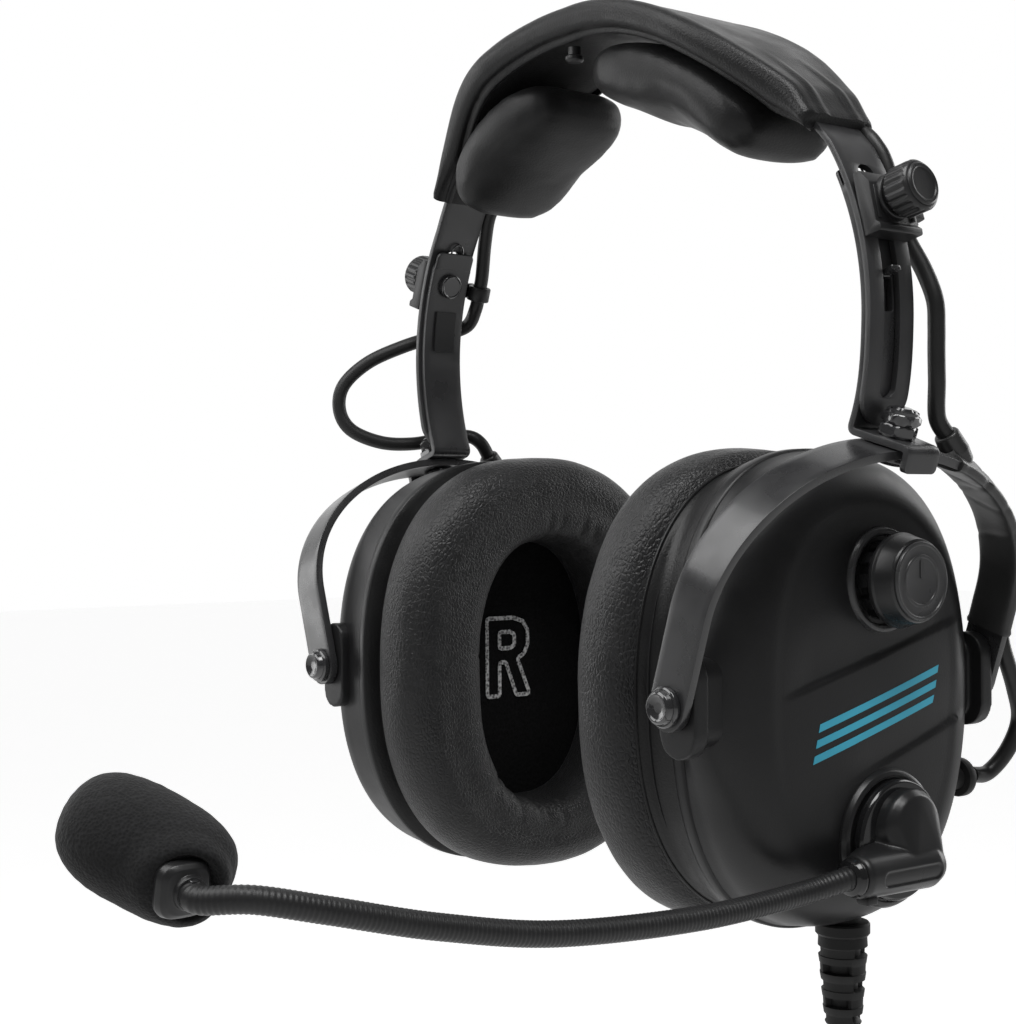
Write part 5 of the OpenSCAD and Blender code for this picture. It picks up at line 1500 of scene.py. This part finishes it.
def boom_clamp():
    """A disc on the cup, and a boot on it that grips the gooseneck in its toe."""
    def ring(x, r, y, z):
        return [(x, y + r * cos(q), z + r * sin(q)) for q in around(40)]

    def hoop(y, r, x=BARREL_X, z=BARREL_Z):
        return [(x + r * cos(q), y, z + r * sin(q)) for q in around(36)]

    plate = put(lathe(fillet([(0.01, -6), (4, -6), (4, 0), (13.5, 0), (13.5, 1.6), (13.0, 2.2), (0.01, 2.2)],
                             [0, 0, 0, 0.1, 0.5, 0.4, 0], 3), 96), facing_out((0, 0, 0)))
    rise = [(1.0, 9.6, 0.2, 2.0), (4.8, 8.8, 0.4, 3.0), (6.6, 7.0, 0.4, 3.4), (7.2, 4.6, 0.4, 3.4)]
    ankle = hull_of(sum([ring(*q) for q in rise], []) + hoop(-4, 4.5) + hoop(5.4, 4.3))
    toe = [(-18.5, 4.9), (-19.6, 4.4), (-8, 5.0), (3.4, 5.3), (6.2, 4.2), (-10, 4.9, 1.6, -4.2),
           (3, 4.9, 1.6, -4.2)]
    foot = hull_of(sum([hoop(*q) for q in toe], []))
    origin = moved((BOOM_X, *BOOM))
    ob = make("boom_clamp_boot", put(join([ankle, foot]), origin), knob_mat, "boom", slot="knob_plastic",
              stands_for="boom_clamp", fuse=(0.32, 7))
    # long shallow recess along the boot's outer side
    co = np.zeros(len(ob.data.vertices) * 3)
    ob.data.vertices.foreach_get("co", co)
    q = co.reshape(-1, 3) * 1000 - origin[:3, 3]
    s = np.clip(q[:, 1], -13.5, 2.2)
    d = np.hypot(q[:, 1] - s, (q[:, 2] - BARREL_Z + 0.6))
    deep = 0.55 * ease((1.9 - d) / 0.5) * (q[:, 0] > BARREL_X)
    co.reshape(-1, 3)[:, 0] -= deep / 1000
    ob.data.vertices.foreach_set("co", co)
    make("boom_clamp_plate", put(plate, origin), gloss_mat, "boom", slot="knob_plastic", sharp=60)
    y0 = BOOM[0] - 20 - 0.1
    tip = facing_y((BOOM_X + BARREL_X, y0, BOOM[1] + BARREL_Z), -1)
    collar = lathe(fillet([(0.01, -0.6), (4.1, -0.6), (4.25, 0.3), (3.7, 1.4), (2.7, 1.8), (0.01, 1.8)],
                          [0, 0.2, 0.6, 0.5, 0.3, 0], 4), 48)
    make("boom_ferrule_ring", put(collar, tip), gloss_mat, "boom", slot="black_steel", stands_for="boom_ferrule",
         sharp=70)
    tab = block((BARREL_X - 0.5, BARREL_X + 2.6), (-18.5, -15.0), (BARREL_Z - 6.0, BARREL_Z - 4.2), 0.4)
    make("boom_clamp_tab", put(tab, origin), block_mat, "boom", slot="knob_plastic", bevel=0.25)


def gooseneck():
    start = np.array([BOOM_X + BARREL_X, BOOM[0] - 8, BOOM[1] + BARREL_Z])
    route = [(81, -25.7, -40.2), (81, -54.8, -41), (80, -90.4, -38.9), (78.5, -117.1, -33.9), (76, -138.7, -28.3),
             (72.6, -151.5, -25.2)]
    ends = [HOLDER_AT + d * unit(HOLDER_V) for d in (5.6, 1.4)]
    path = spline([start, start - [0, 7, 0], start - [0, 14, 0], *route, *ends], 0.2)
    dist = np.arange(len(path)) * length_of(path) / (len(path) - 1)
    scale = 1 + 0.022 * cos(2 * pi * dist / 1.0)
    make("gooseneck_tube", tube(path, NECK_D, 24, scale, (1, 0, 0)), neck_mat, "boom", slot="neck_steel",
         stands_for="gooseneck", sharp=80)


def microphone():
    at = along(FOAM_C, FOAM_V, (0, 0, 1))
    n, rings = 160, []
    th = around(n)
    for u in -cos(pi * np.linspace(0.004, 0.996, 110)):
        r = FOAM_R * (1 - abs(u) ** 2.7) ** (1 / 2.7)
        rings.append(np.stack([r * cos(th), r * sin(th), np.full(n, FOAM_HALF * u)], 1))
    p = np.array(rings)
    v, f = put((p.reshape(-1, 3), grid(p, wrap_v=True, caps=True)[1]), at)
    # the holder goes in through a soft lip on the windscreen's side
    hv = unit(HOLDER_V)
    q = v - HOLDER_AT
    h = q @ hv
    off = q - h[:, None] * hv
    d = np.linalg.norm(off, axis=1)
    near = ease((h + 9) / 5)
    v = v + hv * (1.1 * bump_of(d, 7.6, 2.6) * near)[:, None]
    v = v - hv * (ease((6.6 - d) / 1.0) * near * np.maximum(h + 2.2, 0))[:, None]
    v = v + units(v - FOAM_C) * (0.25 * rough(v, 8, 11) + 0.07 * rough(v, 1.6, 5))[:, None]
    ob = make("mic_foam_windscreen", (v, f), foam_mat, "boom", slot="foam", stands_for="mic_foam", sharp=80)
    hold = along(HOLDER_AT, HOLDER_V, (0, 0, 1))
    shape = fillet([(0.01, -13.5), (4.4, -13.5), (4.4, -2.8), (5.0, -2.6), (5.2, -1.2), (4.9, 0.3), (4.1, 1.1),
                    (3.2, 1.4), (3.0, 2.4), (0.01, 2.5)], [0, 0.5, 0.2, 0.3, 0.8, 0.8, 0.5, 0.3, 0.4, 0], 4)

    def squared(th, r, z):
        e = 2 + 1.6 * float(ease((r - 3.6) / 0.8)) * (z > -3)
        return r / (np.abs(cos(th)) ** e + np.abs(sin(th)) ** e) ** (1 / e)

    make("mic_capsule_holder", put(lathe(shape, 72, squared), hold), knob_mat, "boom", slot="black_plastic",
         stands_for="mic_holder", sharp=50)
    crimp = [put(block((-4.3, -3.2), (-0.9, 0.9), (-0.6, 0.5), 0.3), hold),
             put(block((1.9, 2.7), (-0.8, 0.8), (0.6, 3.4), 0.25), hold)]
    make("mic_crimp", crimp, dark_steel, "boom", slot="black_steel", bevel=0.2)


def strain_relief():
    def windows(th, r, z):
        if r < 3.9 or z > -5.5 or z < -21.5:
            return np.full(len(th), r)
        k = (-z - 5.6) / 3.9
        if k % 1 > 0.5:
            return np.full(len(th), r)
        return r - 1.5 * ease((np.abs(cos(th + (pi / 2) * (int(k) % 2))) - 0.74) / 0.08)

    rows = [(0.01, 6), (4.2, 6), (4.2, 0.1), (6.0, 0.0), (6.3, -0.4), (6.3, -2.5), (5.9, -3.0), (5.6, -3.1)]
    z = -3.1
    for k in range(5):
        top = 5.6 + 3.9 * k
        r = 5.6 - 0.32 * k
        rows += [(r + 0.12, -top + 0.15), (r, -top - 0.02), (r - 0.02, -top - 0.15), (r - 0.1, -top - 1.8),
                 (r - 0.1, -top - 1.93), (r + 0.05, -top - 2.1)]
    rows = [q for q in rows if q[1] > -23.2] + [(3.95, -23.6), (3.4, -24), (0.01, -24)]
    at = spun(RELIEF, 0.4)
    make("strain_relief_boot", put(lathe(rows, 144, windows), at), rubber_mat, "cup_left", slot="rubber",
         stands_for="strain_relief", sharp=35)


# ---------------------------------------------------------------- put it together

headband_strip()
headband_cover()
head_pad(1, "left", 21, 20.9, 22.9, 15.8, 4.2, 1.3)
head_pad(-1, "right", 33, 33.4, 18.2, 16.0, 3.0, 0.3)
cover_stud()
arms()
clamp(1, "left", 7.0)
clamp(-1, "right", 0.0)
yokes()
fasteners()
sleeves()
leads()
cups()
accent_stripes()
for side, word, seed, letter in ((1, "left", 5, "L"), (-1, "right", 12, "R")):
    ear_seal(side, word, seed)
    liner(side, word, letter)
grommets()
volume_knob()
boom_clamp()
gooseneck()
microphone()
strain_relief()

# the CAD nodes that no piece stands for still show, and are plain black plastic
for ob in frame["nodes"].values():
    ob.data.materials.clear()
    ob.data.materials.append(block_mat)

# ---------------------------------------------------------------- last lines

floor(cad_box[0][2] * 1000 - 1)
